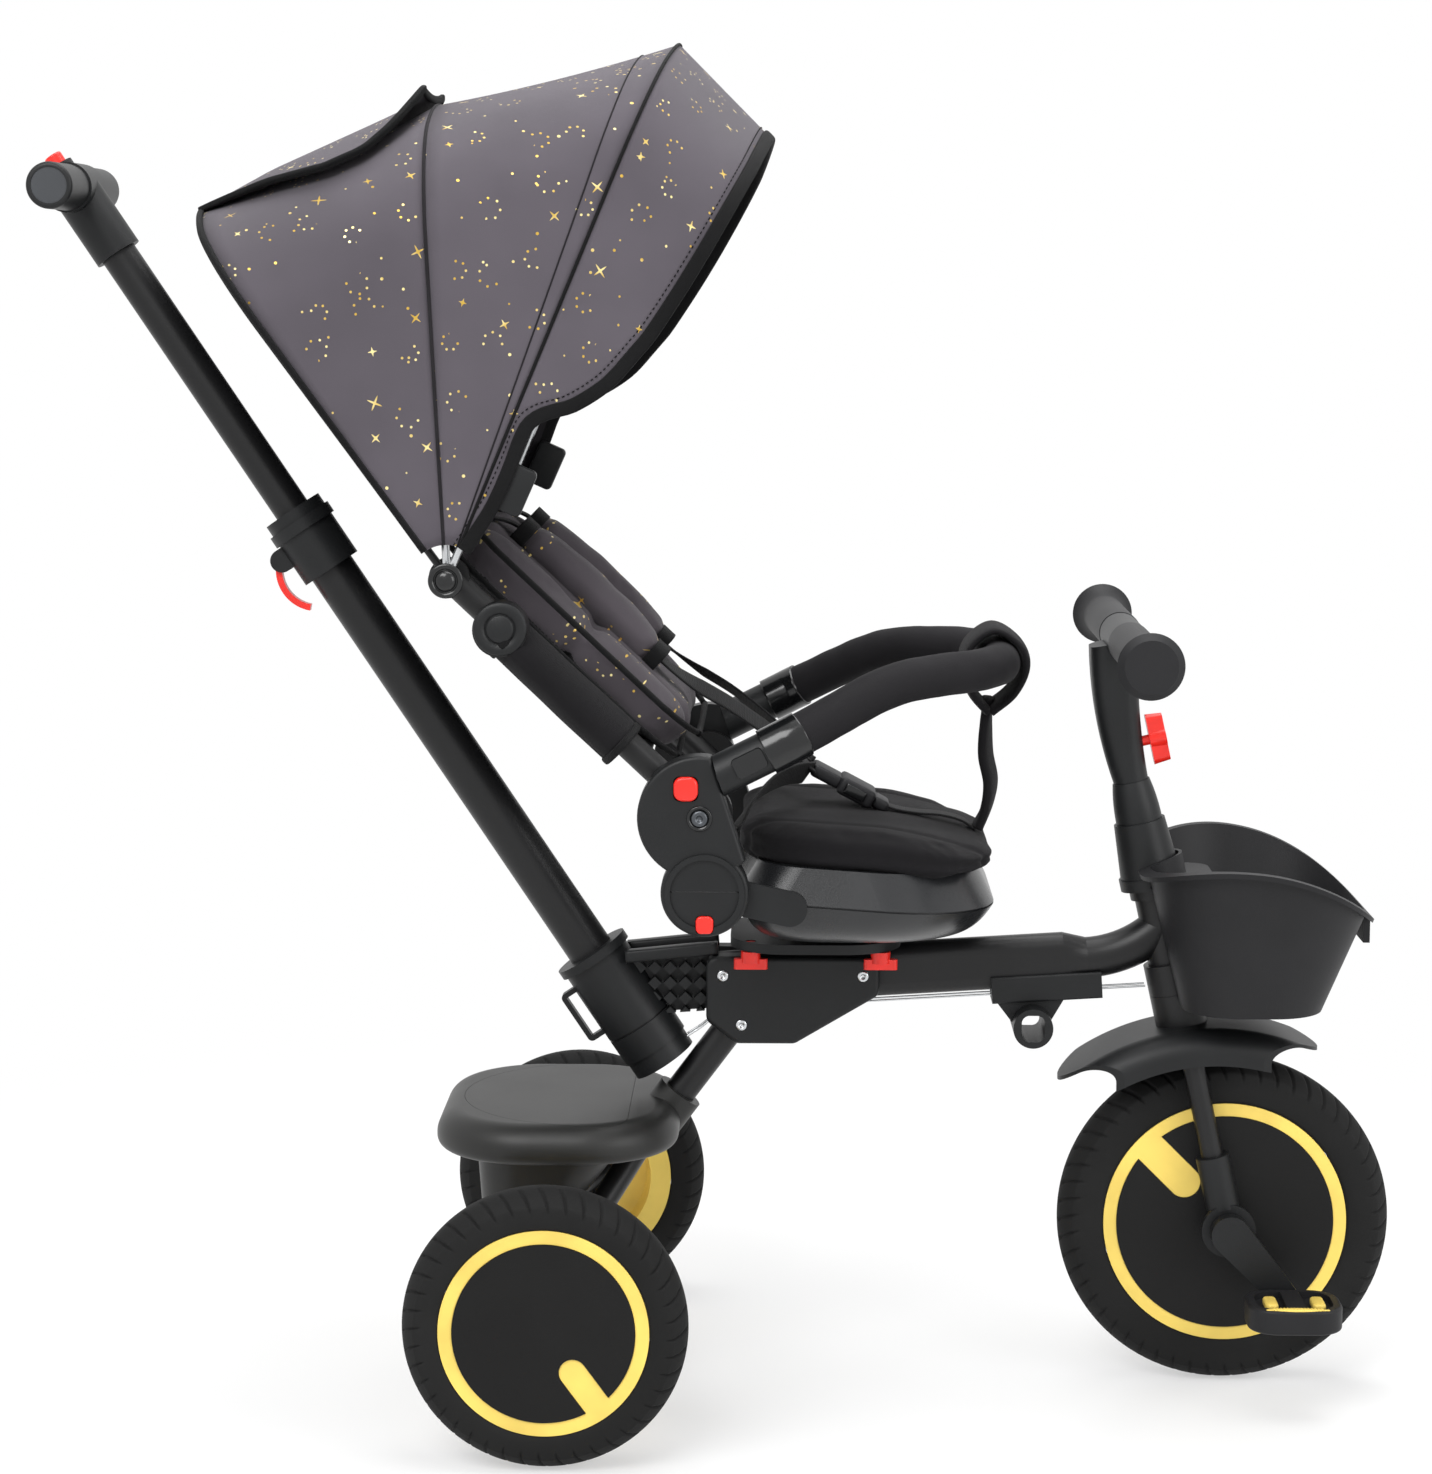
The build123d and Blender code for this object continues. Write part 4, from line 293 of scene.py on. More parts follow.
def woven_height(finish, vector, thread):
    """Over-and-under height of a plain weave, with threads of one width."""
    x, y, z = finish.parts(vector)
    step = 2 * math.pi / thread
    warp = finish.math("SINE", (x + z) * step)
    weft = finish.math("SINE", (y + z * 0.5) * step)
    return warp * weft * 0.5 + finish.noise(0.5 / thread, 1.0, vector) * 0.6


def plain_cloth(name, colour, thread=0.0007, depth=0.00015):
    finish = Finish(name)
    weave = woven_height(finish, finish.place(), thread)
    finish.skin_set(
        base=finish.tones(colour, 0.82, 1.2, finish.noise(11.0, 3.0).rise(0.3, 0.7)),
        roughness=0.74 + weave * 0.08,
        sheen=0.04,
        specular=0.12,
    )
    finish.bump(weave, depth)
    return finish.material


def cut_cloth_spot(finish):
    """Place on a flat cut, from the piece's own UV map."""
    return finish.uv()


def padded_cover_spot(finish):
    """Place on the backrest's covers: along the back, and round from the side to the front."""
    x, y, z = finish.parts(finish.place())
    along = x * back_up.x + z * back_up.z
    out = x * back_front.x + z * back_front.z
    return finish.joined(X=along, Y=out - y)


gold_foil, pale_foil = shade("#c9a548"), shade("#f2e2a0")
motif_pitch, dot_pitch = 0.033, 0.019
arcs_below, sparkles_below, dots_below = 0.46, 0.82, 0.34
bead_wedge = 2 * math.pi / 7


def printed_cloth(name, colour, spot_of):
    """Grey woven cloth with a scatter of small gold beaded arcs, sparkles and dots."""
    finish = Finish(name)
    spot = spot_of(finish)
    weave = woven_height(finish, spot, 0.0006)
    cloth = finish.tones(colour, 0.9, 1.1, finish.noise(8.0, 3.0).rise(0.3, 0.7))

    def scatter(pitch, spread):
        inputs = {"Vector": spot, "Scale": 1 / pitch, "Randomness": spread}
        return finish.node("ShaderNodeTexVoronoi", {"voronoi_dimensions": "2D"}, inputs)

    cells, specks = scatter(motif_pitch, 0.75), scatter(dot_pitch, 0.9)
    speck_pick, _, speck_size = finish.parts(specks["Color"])
    dots = (specks["Distance"] < (speck_size * 0.03 + 0.035)) * (speck_pick < dots_below)
    pick, turn, size = finish.parts(cells["Color"])
    reach = cells["Distance"]
    away = finish.node("ShaderNodeVectorMath", {"operation": "SUBTRACT"}, {0: spot, 1: cells["Position"]})
    dx, dy, _ = finish.parts(away["Vector"])
    angle = finish.math("ARCTAN2", dy, dx) + turn * 6.28 + 8.0
    off_bead = bead_wedge / 2 - finish.math("PINGPONG", angle, bead_wedge / 2)
    along = reach * finish.math("COSINE", off_bead) - (size * 0.07 + 0.17)
    across = reach * finish.math("SINE", off_bead)
    on_arc = finish.math("PINGPONG", angle + size * 6.0, math.pi) < 2.3
    beads = ((along * along + across * across) < 0.0008) * on_arc
    spike = finish.math("ABSOLUTE", finish.math("SINE", angle * 2.0))
    tips = (1.0 - spike) * (1.0 - spike)
    sparkle = reach < (0.04 + tips * (size * 0.10 + 0.05))
    is_sparkle = (pick > arcs_below) * (pick < sparkles_below)
    gold_mask = (dots + (pick < arcs_below) * beads + is_sparkle * sparkle).math("MINIMUM", 1.0)
    foil = finish.mix(gold_foil, pale_foil, finish.noise(60.0).rise(0.4, 0.65))
    finish.skin_set(
        base=finish.mix(cloth, foil, gold_mask),
        roughness=(0.72 + weave * 0.08) * (1.0 - gold_mask) + gold_mask * 0.34,
        metallic=gold_mask * 0.55,
        sheen=0.12,
        specular=0.2,
    )
    finish.bump(weave * (1.0 - gold_mask) + gold_mask * 0.7, 0.00014)
    return finish.material


def webbing(name, colour):
    """Narrow strap cloth with ribs across it, their crests lighter as a painted highlight."""
    rib_pitch, chevron_pitch = 0.0016, 0.0022
    finish = Finish(name)
    u, v, _ = finish.parts(finish.uv())
    ribs = finish.math("SINE", v * (2 * math.pi / rib_pitch))
    chevron = finish.math("SINE", (u + v * 0.5) * (2 * math.pi / chevron_pitch))
    height = ribs * 0.6 + chevron * 0.4
    # Painted highlight: the base colour is lighter on the raised rib crests, by the rib height.
    finish.skin_set(
        base=finish.tones(colour, 1.0, 1.9, height.rise(0.0, 1.0) * 0.5),
        roughness=0.66 + height * 0.08,
        sheen=0.05,
        specular=0.15,
    )
    finish.bump(height, 0.00025)
    return finish.material


black_plastic = moulded_plastic("BlackPlastic", shade("#191a1b"))
soft_black_plastic = moulded_plastic("SoftBlackPlastic", shade("#1a1a1c"), roughness=0.52)
shell_plastic = moulded_plastic("TubPlastic", shade("#1c1d1f"), roughness=0.27, grain=0.00003, specular=0.5)
box_plastic = moulded_plastic("BoxPlastic", shade("#232322"), specular=0.35)
disc_plastic = moulded_plastic("DiscPlastic", shade("#121212"), roughness=0.5, specular=0.2)
cap_plastic = moulded_plastic("CapPlastic", shade("#3c3e41"), roughness=0.4)
yellow_plastic = moulded_plastic("WheelYellow", shade("#ebcd66"), roughness=0.38, grain=0.00003)
red_plastic = gloss_plastic("SignalRed", shade("#e8271c"), roughness=0.26)
glossy_black = gloss_plastic("GlossBlack", shade("#101112"), roughness=0.16)
black_paint = satin_paint("BlackPaint", shade("#131314"))
silver_metal = bare_metal("SilverMetal", shade("#d6d8da"))
dark_metal = bare_metal("DarkMetal", shade("#5a5d61"), roughness=0.3)
tyre_rubber = foam_rubber("TyreRubber", shade("#1b1b1b"))
bumper_foam = foam_rubber("BumperFoam", shade("#1c1b1d"), cell=1000.0, depth=0.0002)
hood_cloth = printed_cloth("HoodCloth", shade("#565158"), cut_cloth_spot)
pad_cloth = printed_cloth("PadCloth", shade("#494449"), padded_cover_spot)
black_cloth = plain_cloth("BlackCloth", shade("#151416"))
lining_cloth = plain_cloth("HoodLining", shade("#232124"), thread=0.0008)
tape_cloth = plain_cloth("BindingTape", shade("#121213"), thread=0.0005, depth=0.0002)
strap_cloth = webbing("StrapWebbing", shade("#131314"))


# Dress the rigid pieces of the frame

dress = {
    black_paint: ["main_frame", "rear_fork", "push_tube", "push_upper_tube", "fork", "backrest_frame"],
    black_plastic: [
        "push_socket", "side_covers", "cable_guide", "swivel_base", "clamp_collar", "push_handle",
        "turn_plate", "seat_ears", "bumper_ends", "leg_covers", "mudguard", "stem_sleeve", "handlebar",
        "cranks",
    ],
    soft_black_plastic: ["basket", "pedal_right", "pedal_left", "grips"],
    disc_plastic: ["front_discs", "rear_disc_right", "rear_disc_left"],
    shell_plastic: ["seat_lower", "seat_upper"],
    box_plastic: ["storage_box", "box_lid"],
    cap_plastic: ["grip_caps"],
    glossy_black: ["bumper_button_right", "bumper_button_left"],
    yellow_plastic: ["front_rim", "rear_rim_right", "rear_rim_left"],
    red_plastic: [
        "clamp_lever", "grip_button", "bar_knob", "recline_button_right", "recline_button_left",
        "disc_button_right", "disc_button_left", "wing_knob_front_left", "wing_knob_front_right",
        "wing_knob_rear_left", "wing_knob_rear_right",
    ],
    silver_metal: ["rear_axle", "steering_wires", "bow_mid", "bow_front"],
}
for finish, names in dress.items():
    for name in names:
        nodes[name].data.materials.clear()
        nodes[name].data.materials.append(finish)


# Mesh kit


def show(name, mesh):
    """Put a mesh in the scene as a piece."""
    piece = bpy.data.objects.new(name, mesh)
    scene.collection.objects.link(piece)
    return piece


def smooth_faces(mesh):
    mesh.polygons.foreach_set("use_smooth", [True] * len(mesh.polygons))


def new_piece(name, verts, faces, finish, uvs=None):
    """A mesh piece in place. uvs holds one pair for each vertex."""
    mesh = bpy.data.meshes.new(name)
    mesh.from_pydata([tuple(v) for v in verts], [], faces)
    mesh.validate()
    if uvs is not None:
        layer = mesh.uv_layers.new(name="UVMap")
        for loop in mesh.loops:
            layer.data[loop.index].uv = uvs[loop.vertex_index]
    mesh.materials.append(finish)
    smooth_faces(mesh)
    return show(name, mesh)


def grid_faces(rows, columns, close_columns=False, close_rows=False):
    """Quads of a grid of points, row by row."""
    faces = []
    for i in range(rows if close_rows else rows - 1):
        low, high = i * columns, (i + 1) % rows * columns
        for j in range(columns if close_columns else columns - 1):
            k = (j + 1) % columns
            faces.append([low + j, low + k, high + k, high + j])
    return faces


def tube_faces(rows, columns):
    """Quads of a tube, row by row, and its two ends."""
    ends = [list(range(columns))[::-1], [(rows - 1) * columns + j for j in range(columns)]]
    return grid_faces(rows, columns, True) + ends


def sheet_of_rows(name, rows, finish, uvs=None):
    """A mesh piece through rows of points."""
    verts = [point for row in rows for point in row]
    return new_piece(name, verts, grid_faces(len(rows), len(rows[0])), finish, uvs)


def face_outward(piece):
    """Turn a closed mesh's faces outward."""
    work = bmesh.new()
    work.from_mesh(piece.data)
    bmesh.ops.remove_doubles(work, verts=work.verts, dist=1e-6)
    bmesh.ops.recalc_face_normals(work, faces=work.faces)
    work.to_mesh(piece.data)
    work.free()


def run_lengths(points):
    """Path length from the first point to each point."""
    return np.concatenate([[0], np.cumsum([(q - p).length for p, q in zip(points, points[1:])])])


def smooth_path(points, count):
    """Evenly spread points on a smooth curve through some points, and the curve's length."""
    steps = 24
    knots = [Vector(p) for p in points]
    ends = [knots[0] * 2 - knots[1], *knots, knots[-1] * 2 - knots[-2]]
    dense = []
    for a, b, c, d in zip(ends, ends[1:], ends[2:], ends[3:]):
        bend, twist = 2 * a - 5 * b + 4 * c - d, 3 * b - a - 3 * c + d
        for t in (step / steps for step in range(steps)):
            dense.append(0.5 * (2 * b + (c - a) * t + bend * t**2 + twist * t**3))
    dense.append(knots[-1])
    lengths = run_lengths(dense)
    spread = np.linspace(0, lengths[-1], count)
    columns = [np.interp(spread, lengths, [p[axis] for p in dense]) for axis in range(3)]
    return [Vector(p) for p in zip(*columns)], lengths[-1]


def path_frames(path, side_hint):
    """Side and normal at each point of a path; the side keeps close to a hint."""
    frames = []
    for i in range(len(path)):
        tangent = (path[min(i + 1, len(path) - 1)] - path[max(i - 1, 0)]).normalized()
        hint = side_hint(i / (len(path) - 1)) if callable(side_hint) else side_hint
        side = (hint - tangent * hint.dot(tangent)).normalized()
        frames.append((side, tangent.cross(side)))
    return frames


def rounded_section(width, thick, count=16, power=3.2):
    """Closed superellipse as (across, up) pairs."""
    section = []
    for step in range(count):
        angle = 2 * math.pi * step / count
        c, s = math.cos(angle), math.sin(angle)
        across = width / 2 * math.copysign(abs(c) ** (2 / power), c)
        section.append((across, thick / 2 * math.copysign(abs(s) ** (2 / power), s)))
    return section


def round_section(width, count):
    return rounded_section(width, width, count, 2.0)


def swept_piece(name, points, section, finish, body=None, side=left, count=60, size=None):
    """A section carried along a smooth path, with closed ends. size gives a scale along it."""
    path, length = smooth_path(points, count)
    verts, uvs = [], []
    for i, (point, (across, up)) in enumerate(zip(path, path_frames(path, side))):
        share = i / (count - 1)
        grow = size(share) if size else 1.0
        for a, b in section:
            verts.append(point + across * (a * grow) + up * (b * grow))
            uvs.append((a, length * share))
    piece = new_piece(name, verts, tube_faces(count, len(section)), finish, uvs)
    face_outward(piece)
    if body:
        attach(piece, body)
    return piece


def settle(piece):
    """Apply a piece's modifiers to its mesh."""
    shown = piece.evaluated_get(bpy.context.evaluated_depsgraph_get())
    mesh = bpy.data.meshes.new_from_object(shown)
    piece.modifiers.clear()
    piece.data = mesh
    return piece


def thicken(piece, thickness, lining=None):
    """Give a sheet a thickness below its face, with a lining cloth on the inside."""
    solid = piece.modifiers.new("Thickness", "SOLIDIFY")
    solid.thickness = thickness
    solid.offset = -1.0
    if lining:
        piece.data.materials.append(lining)
        solid.material_offset = 1
    return settle(piece)


def read_vectors(items, key):
    flat = np.empty(len(items) * 3)
    items.foreach_get(key, flat)
    return flat.reshape(-1, 3)


def points_of(mesh):
    return read_vectors(mesh.vertices, "co")


def normals_of(mesh):
    return read_vectors(mesh.vertex_normals, "vector")


def set_points(mesh, points):
    mesh.vertices.foreach_set("co", points.ravel())
    mesh.update()


def bevelled_box(name, centre, axes, size, corner, rim):
    """Mesh of a box on three axes. corner and rim give a bevel's offset and steps."""
    work = bmesh.new()
    bmesh.ops.create_cube(work, size=1.0)
    for vert in work.verts:
        a, b, c = (vert.co[i] * size[i] for i in range(3))
        vert.co = centre + axes[0] * a + axes[1] * b + axes[2] * c
    upright = [e for e in work.edges if abs((e.verts[0].co - e.verts[1].co).normalized().dot(axes[2])) > 0.9]
    bmesh.ops.bevel(work, geom=upright, offset=corner[0], segments=corner[1], affect="EDGES", profile=0.5)
    rims = [e for e in work.edges if len(e.link_faces) == 2 and e.calc_face_angle(0) > 1.0]
    bmesh.ops.bevel(work, geom=rims, offset=rim[0], segments=rim[1], affect="EDGES", profile=0.5)
    bmesh.ops.recalc_face_normals(work, faces=work.faces)
    mesh = bpy.data.meshes.new(name)
    work.to_mesh(mesh)
    work.free()
    return mesh


def rounded_block(name, centre, axes, size, finish, body, corner=0.004, top_bevel=0.002):
    """A moulded block: a plate with rounded corners and eased edges."""
    mesh = bevelled_box(name, centre, axes, size, (corner, 6), (top_bevel, 3))
    mesh.materials.append(finish)
    smooth_faces(mesh)
    piece = show(name, mesh)
    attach(piece, body)
    return piece


def pillow(name, centre, axes, size, finish, corner, voxel=0.005):
    """A soft block: a rounded box of a size on three axes, remeshed evenly for filling."""
    mesh = bevelled_box(name, centre, axes, size, (corner, 8), (size[2] * 0.32, 5))
    mesh.materials.append(finish)
    piece = show(name, mesh)
    remesh = piece.modifiers.new("Even", "REMESH")
    remesh.mode = "VOXEL"
    remesh.voxel_size = voxel
    settle(piece)
    smooth_faces(piece.data)
    return piece


fill_frames = 20
fill_settings = {
    "quality": 6,
    "mass": 0.25,
    "tension_stiffness": 12,
    "compression_stiffness": 6,
    "shear_stiffness": 4,
    "bending_stiffness": 0.15,
    "use_pressure": True,
}


def fill_out(piece, pressure, cap):
    """Fill a padded cover with pressure in a cloth simulation, each point moving no further than a cap."""
    before = points_of(piece.data)
    cloth = piece.modifiers.new("Filling", "CLOTH")
    for key, value in fill_settings.items():
        setattr(cloth.settings, key, value)
    cloth.settings.uniform_pressure_force = pressure
    cloth.settings.effector_weights.gravity = 0.0
    cloth.point_cache.frame_start = 1
    cloth.point_cache.frame_end = fill_frames
    for step in range(1, fill_frames + 1):
        scene.frame_set(step)
        shown = piece.evaluated_get(bpy.context.evaluated_depsgraph_get())
    after = points_of(shown.to_mesh())
    shown.to_mesh_clear()
    piece.modifiers.remove(cloth)
    scene.frame_set(1)
    move = after - before
    far = np.linalg.norm(move, axis=1, keepdims=True)
    set_points(piece.data, before + move * np.minimum(1.0, cap / np.maximum(far, 1e-9)))


def sew_in(piece, lines, depth, width):
    """Draw a padded cover in along seam lines, each a function giving a point's distance to the seam."""
    points = points_of(piece.data)
    normals = normals_of(piece.data)
    for distance in lines:
        gap = distance(points)
        points = points - normals * (depth * np.exp(-((gap / width) ** 2)))[:, None]
    set_points(piece.data, points)


def crumple(piece, height, size, seed):
    """Soft hollows and folds over a cover, from a few crossed waves."""
    random = np.random.default_rng(seed)
    points = points_of(piece.data)
    normals = normals_of(piece.data)
    total = np.zeros(len(points))
    for _ in range(7):
        way = random.normal(size=3)
        way /= np.linalg.norm(way)
        bend = random.normal(size=3)
        phase = points @ way / size * 2 * math.pi + np.sin(points @ bend / size) * 1.3
        phase += random.uniform(0, 6.28)
        total += np.sin(phase) * random.uniform(0.5, 1.0)
    set_points(piece.data, points + normals * (total * height / 3.5)[:, None])


def soften(piece):
    """One round of subdivision over a finished soft piece."""
    smooth = piece.modifiers.new("Smooth", "SUBSURF")
    smooth.levels = smooth.render_levels = 1
    settle(piece)


# Repeats by geometry nodes


def repeat_tree(name, along_curve):
    """Instances of a unit on marked points, or spaced along a line, made real and given one finish."""
    tree = bpy.data.node_groups.new(name, "GeometryNodeTree")
    inputs = {"Geometry": "Geometry", "Unit": "Object", "Finish": "Material", "Spacing": "Float"}
    for socket, kind in inputs.items():
        tree.interface.new_socket(socket, in_out="INPUT", socket_type=f"NodeSocket{kind}")
    tree.interface.new_socket("Geometry", in_out="OUTPUT", socket_type="NodeSocketGeometry")
    add, link = tree.nodes.new, tree.links.new
    group_in, group_out = add("NodeGroupInput"), add("NodeGroupOutput")
    unit = add("GeometryNodeObjectInfo")
    unit.transform_space = "ORIGINAL"
    link(group_in.outputs["Unit"], unit.inputs["Object"])
    placed = add("GeometryNodeInstanceOnPoints")
    link(unit.outputs["Geometry"], placed.inputs["Instance"])
    if along_curve:
        line = add("GeometryNodeMeshToCurve")
        link(group_in.outputs["Geometry"], line.inputs["Mesh"])
        dots = add("GeometryNodeCurveToPoints")
        dots.mode = "LENGTH"
        link(line.outputs["Curve"], dots.inputs["Curve"])
        link(group_in.outputs["Spacing"], dots.inputs["Length"])
        link(dots.outputs["Points"], placed.inputs["Points"])
        link(dots.outputs["Rotation"], placed.inputs["Rotation"])
    else:
        turn = add("GeometryNodeInputNamedAttribute")
        turn.data_type = "FLOAT_VECTOR"
        turn.inputs["Name"].default_value = "facing"
        link(group_in.outputs["Geometry"], placed.inputs["Points"])
        link(turn.outputs["Attribute"], placed.inputs["Rotation"])
    real = add("GeometryNodeRealizeInstances")
    link(placed.outputs["Instances"], real.inputs["Geometry"])
    coat = add("GeometryNodeSetMaterial")
    link(real.outputs["Geometry"], coat.inputs["Geometry"])
    link(group_in.outputs["Finish"], coat.inputs["Material"])
    link(coat.outputs["Geometry"], group_out.inputs["Geometry"])
    return tree


marked_tree = repeat_tree("UnitsOnMarks", False)
spaced_tree = repeat_tree("UnitsAlongLine", True)


def run_tree(piece, tree, unit, finish, spacing, body):
    modifier = piece.modifiers.new("Repeat", "NODES")
    modifier.node_group = tree
    values = {"Unit": unit, "Finish": finish, "Spacing": spacing}
    for socket in tree.interface.items_tree:
        if socket.in_out == "INPUT" and socket.name in values:
            modifier[socket.identifier] = values[socket.name]
    settle(piece)
    smooth_faces(piece.data)
    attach(piece, body)


def units_on_marks(name, marks, unit, finish, body):
    """A unit at each mark; a mark is a place and the way its unit's top faces."""
    mesh = bpy.data.meshes.new(name)
    mesh.from_pydata([tuple(place) for place, _ in marks], [], [])
    facing = mesh.attributes.new("facing", "FLOAT_VECTOR", "POINT")
    for i, (_, way) in enumerate(marks):
        facing.data[i].vector = Vector(way).to_track_quat("Z", "Y").to_euler()
    run_tree(show(name, mesh), marked_tree, unit, finish, 0.0, body)


def units_along_line(name, path, unit, spacing, finish, body):
    """A unit every so often along a line."""
    mesh = bpy.data.meshes.new(name)
    mesh.from_pydata([tuple(p) for p in path], [(i, i + 1) for i in range(len(path) - 1)], [])
    run_tree(show(name, mesh), spaced_tree, unit, finish, spacing, body)


def unit_from(name, profile, sides=24):
    """A turned unit from (radius, height) pairs, kept out of the scene."""
    verts = []
    for radius, height in profile:
        for turn in (2 * math.pi * k / sides for k in range(sides)):
            verts.append((radius * math.cos(turn), radius * math.sin(turn), height))
    mesh = bpy.data.meshes.new(name)
    mesh.from_pydata(verts, [], tube_faces(len(profile), sides))
    return bpy.data.objects.new(name, mesh)


# Tyres: turned sections with curved sipes over both shoulders

tyre_half_w = 0.045 / 2
tread_drop = 0.011
tread_share, bead_share = 0.93, 0.90
shoulder_drop = 0.006
sipe_from, sipe_to, sipe_cut = 0.0045, 0.030, 0.0021


def tyre_section(outer_r, seat_r):
    """Half section from the crown to the rim as (across, radius)."""
    points = []
    for t in np.linspace(0, 1, 15):
        across = tyre_half_w * tread_share * t
        points.append((across, outer_r - tread_drop * (across / tyre_half_w) ** 2.2))
    shoulder_r = points[-1][1]
    for t in np.linspace(0.18, 1, 5):
        across = tyre_half_w * (tread_share + (1 - tread_share) * math.sin(t * math.pi / 2))
        points.append((across, shoulder_r - shoulder_drop * t * t - 0.001 * t))
    low = points[-1][1]
    for t in np.linspace(0.2, 1, 6):
        points.append((tyre_half_w * (1 - (1 - bead_share) * t**3), low + (seat_r + 0.0004 - low) * t))
    return points


def sipe_depth(angle, travel, sipes):
    """How far a groove is cut in at a turn of the wheel and a distance from the crown."""
    if not sipe_from < travel < sipe_to:
        return 0.0
    share = (travel - sipe_from) / (sipe_to - sipe_from)
    hook = 0.030 * (1 - share) ** 2.2 - 0.05 * share
    pitch = 2 * math.pi / sipes
    off = (angle + hook + pitch / 2) % pitch - pitch / 2
    half_width = 0.0145 * (1 - 0.35 * share)
    wall = max(0.0, 1 - (abs(off) / half_width) ** 4)
    return sipe_cut * wall * min(1.0, share / 0.1, (1 - share) / 0.12)


def tyre(name, node, body, outer_r, seat_r, sipes):
    hub = middle_of(node)
    half = tyre_section(outer_r, seat_r)
    travel = [0.0]
    for a, b in zip(half, half[1:]):
        travel.append(travel[-1] + math.hypot(b[0] - a[0], b[1] - a[1]))
    one_side, other_side = ([(s * a, r, d, s) for (a, r), d in zip(half, travel)] for s in (-1, 1))
    section = one_side[:0:-1] + other_side
    rounds = sipes * 18
    verts = []
    for k in range(rounds):
        turn = 2 * math.pi * k / rounds
        for across, radius, distance, side in section:
            shift = 0.0 if side < 0 else math.pi / sipes
            cut = sipe_depth(turn * side + shift, distance, sipes)
            r = radius - cut * 0.85
            y = across - math.copysign(cut * 0.5, across) * (abs(across) / tyre_half_w) ** 2
            verts.append(hub + Vector((r * math.cos(turn), y, r * math.sin(turn))))
    piece = new_piece(name, verts, grid_faces(rounds, len(section), True, True), tyre_rubber)
    face_outward(piece)
    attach(piece, body)
    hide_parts(node)


for side in ("right", "left"):
    node, body = f"rear_tyre_{side}", f"{side}_rear_wheel"
    tyre(f"RearTyre_{side}", node, body, outer_r=0.105, seat_r=0.077, sipes=44)
tyre("FrontTyre", "front_tyre", "front_wheel", outer_r=0.130, seat_r=0.095, sipes=54)


# Hood: cloth over three bows and a soft visor; a hoop is an angle at the pivot and a reach from it

hood_half_w = 0.1668
bow_corner_r, bow_crown_r = 0.085, 0.300
hood_lift = 0.0068
cloth_t, thin_cloth_t = 0.0024, 0.0016
hood_root = 0.026
rear_bow, mid_bow, front_bow, visor_hoop = (126.0, 0.326), (92.8, 0.342), (67.1, 0.420), (46.0, 0.388)
side_rows, corner_rows, crown_rows = 26, 12, 10

# The front edge of the side: reach from the pivot, and angle
edge_reach = [
    0.0, 0.061, 0.105, 0.124, 0.136, 0.147, 0.156, 0.170, 0.189, 0.230, 0.277, 0.321, 0.371, 0.401, 0.44,
]
edge_angle = [58.0, 57.2, 61.0, 62.4, 60.6, 57.0, 54.0, 51.6, 50.1, 49.9, 51.0, 52.1, 53.3, 54.3, 54.6]


def hood_point(angle, y, reach):
    return hood_pivot + lean(angle) * reach + left * y


def side_angle(point):
    away = point - hood_pivot
    return math.degrees(math.atan2(away.z, away.x))


def hood_half_section(reach):
    """Points of a hoop as (half width, level), from the root on the side to the top middle."""
    top = reach + hood_lift
    corner_r = bow_corner_r + hood_lift
    crown_r = bow_crown_r + hood_lift
    across = hood_half_w - corner_r
    rise = math.sqrt((crown_r - corner_r) ** 2 - across**2)
    bend_from = top - crown_r + rise
    bend_end = math.atan2(rise, across)
    points = [(hood_half_w, hood_root + (bend_from - hood_root) * t) for t in np.linspace(0, 1, side_rows)]
    for t in np.linspace(0, 1, corner_rows + 1)[1:]:
        turn = bend_end * t
        points.append((across + corner_r * math.cos(turn), bend_from + corner_r * math.sin(turn)))
    for t in np.linspace(0, 1, crown_rows + 1)[1:]:
        turn = bend_end + (math.pi / 2 - bend_end) * t
        points.append((crown_r * math.cos(turn), top - crown_r + crown_r * math.sin(turn)))
    return points


def hood_path(hoop):
    """Points of a hoop from the near side, over the top, to the far side."""
    angle, reach = hoop
    half = hood_half_section(reach)
    near = [hood_point(angle, -y, level) for y, level in half]
    return near + [hood_point(angle, y, level) for y, level in half[-2::-1]]


def unrolled(path):
    """Flat cloth coordinates of a row of points: around the pivot, by path length up each side."""
    lengths = run_lengths(path)
    flat = []
    for point, run in zip(path, lengths):
        reach = hood_root + min(run, lengths[-1] - run)
        spin = math.radians(side_angle(point))
        flat.append((reach * math.cos(spin) + point.y * 0.4, reach * math.sin(spin) + point.y * 0.1))
    return flat


def declare_sheet(rows):
    """Work out a sheet's flat cut: its length across and along the rows, and the area of the shaped cut; the
    results are not kept.
    """
    across = run_lengths(rows[len(rows) // 2])[-1]
    along = run_lengths([row[len(row) // 2] for row in rows])[-1]
    area = 0.0
    for low, high in zip(rows, rows[1:]):
        for j in range(len(low) - 1):
            area += (low[j + 1] - low[j]).cross(high[j] - low[j]).length / 2
            area += (high[j + 1] - low[j + 1]).cross(high[j + 1] - high[j]).length / 2


def hood_patch(name, rows):
    """A printed and lined sheet through rows of points."""
    columns = len(rows[0])
    piece = sheet_of_rows(name, rows, hood_cloth, [uv for row in rows for uv in unrolled(row)])
    middle = piece.data.polygons[(len(rows) // 2) * (columns - 1) + columns // 2]
    if middle.normal.dot(middle.center - hood_pivot) < 0:
        piece.data.flip_normals()
    thicken(piece, cloth_t, lining_cloth)
    declare_sheet(rows)
    return piece


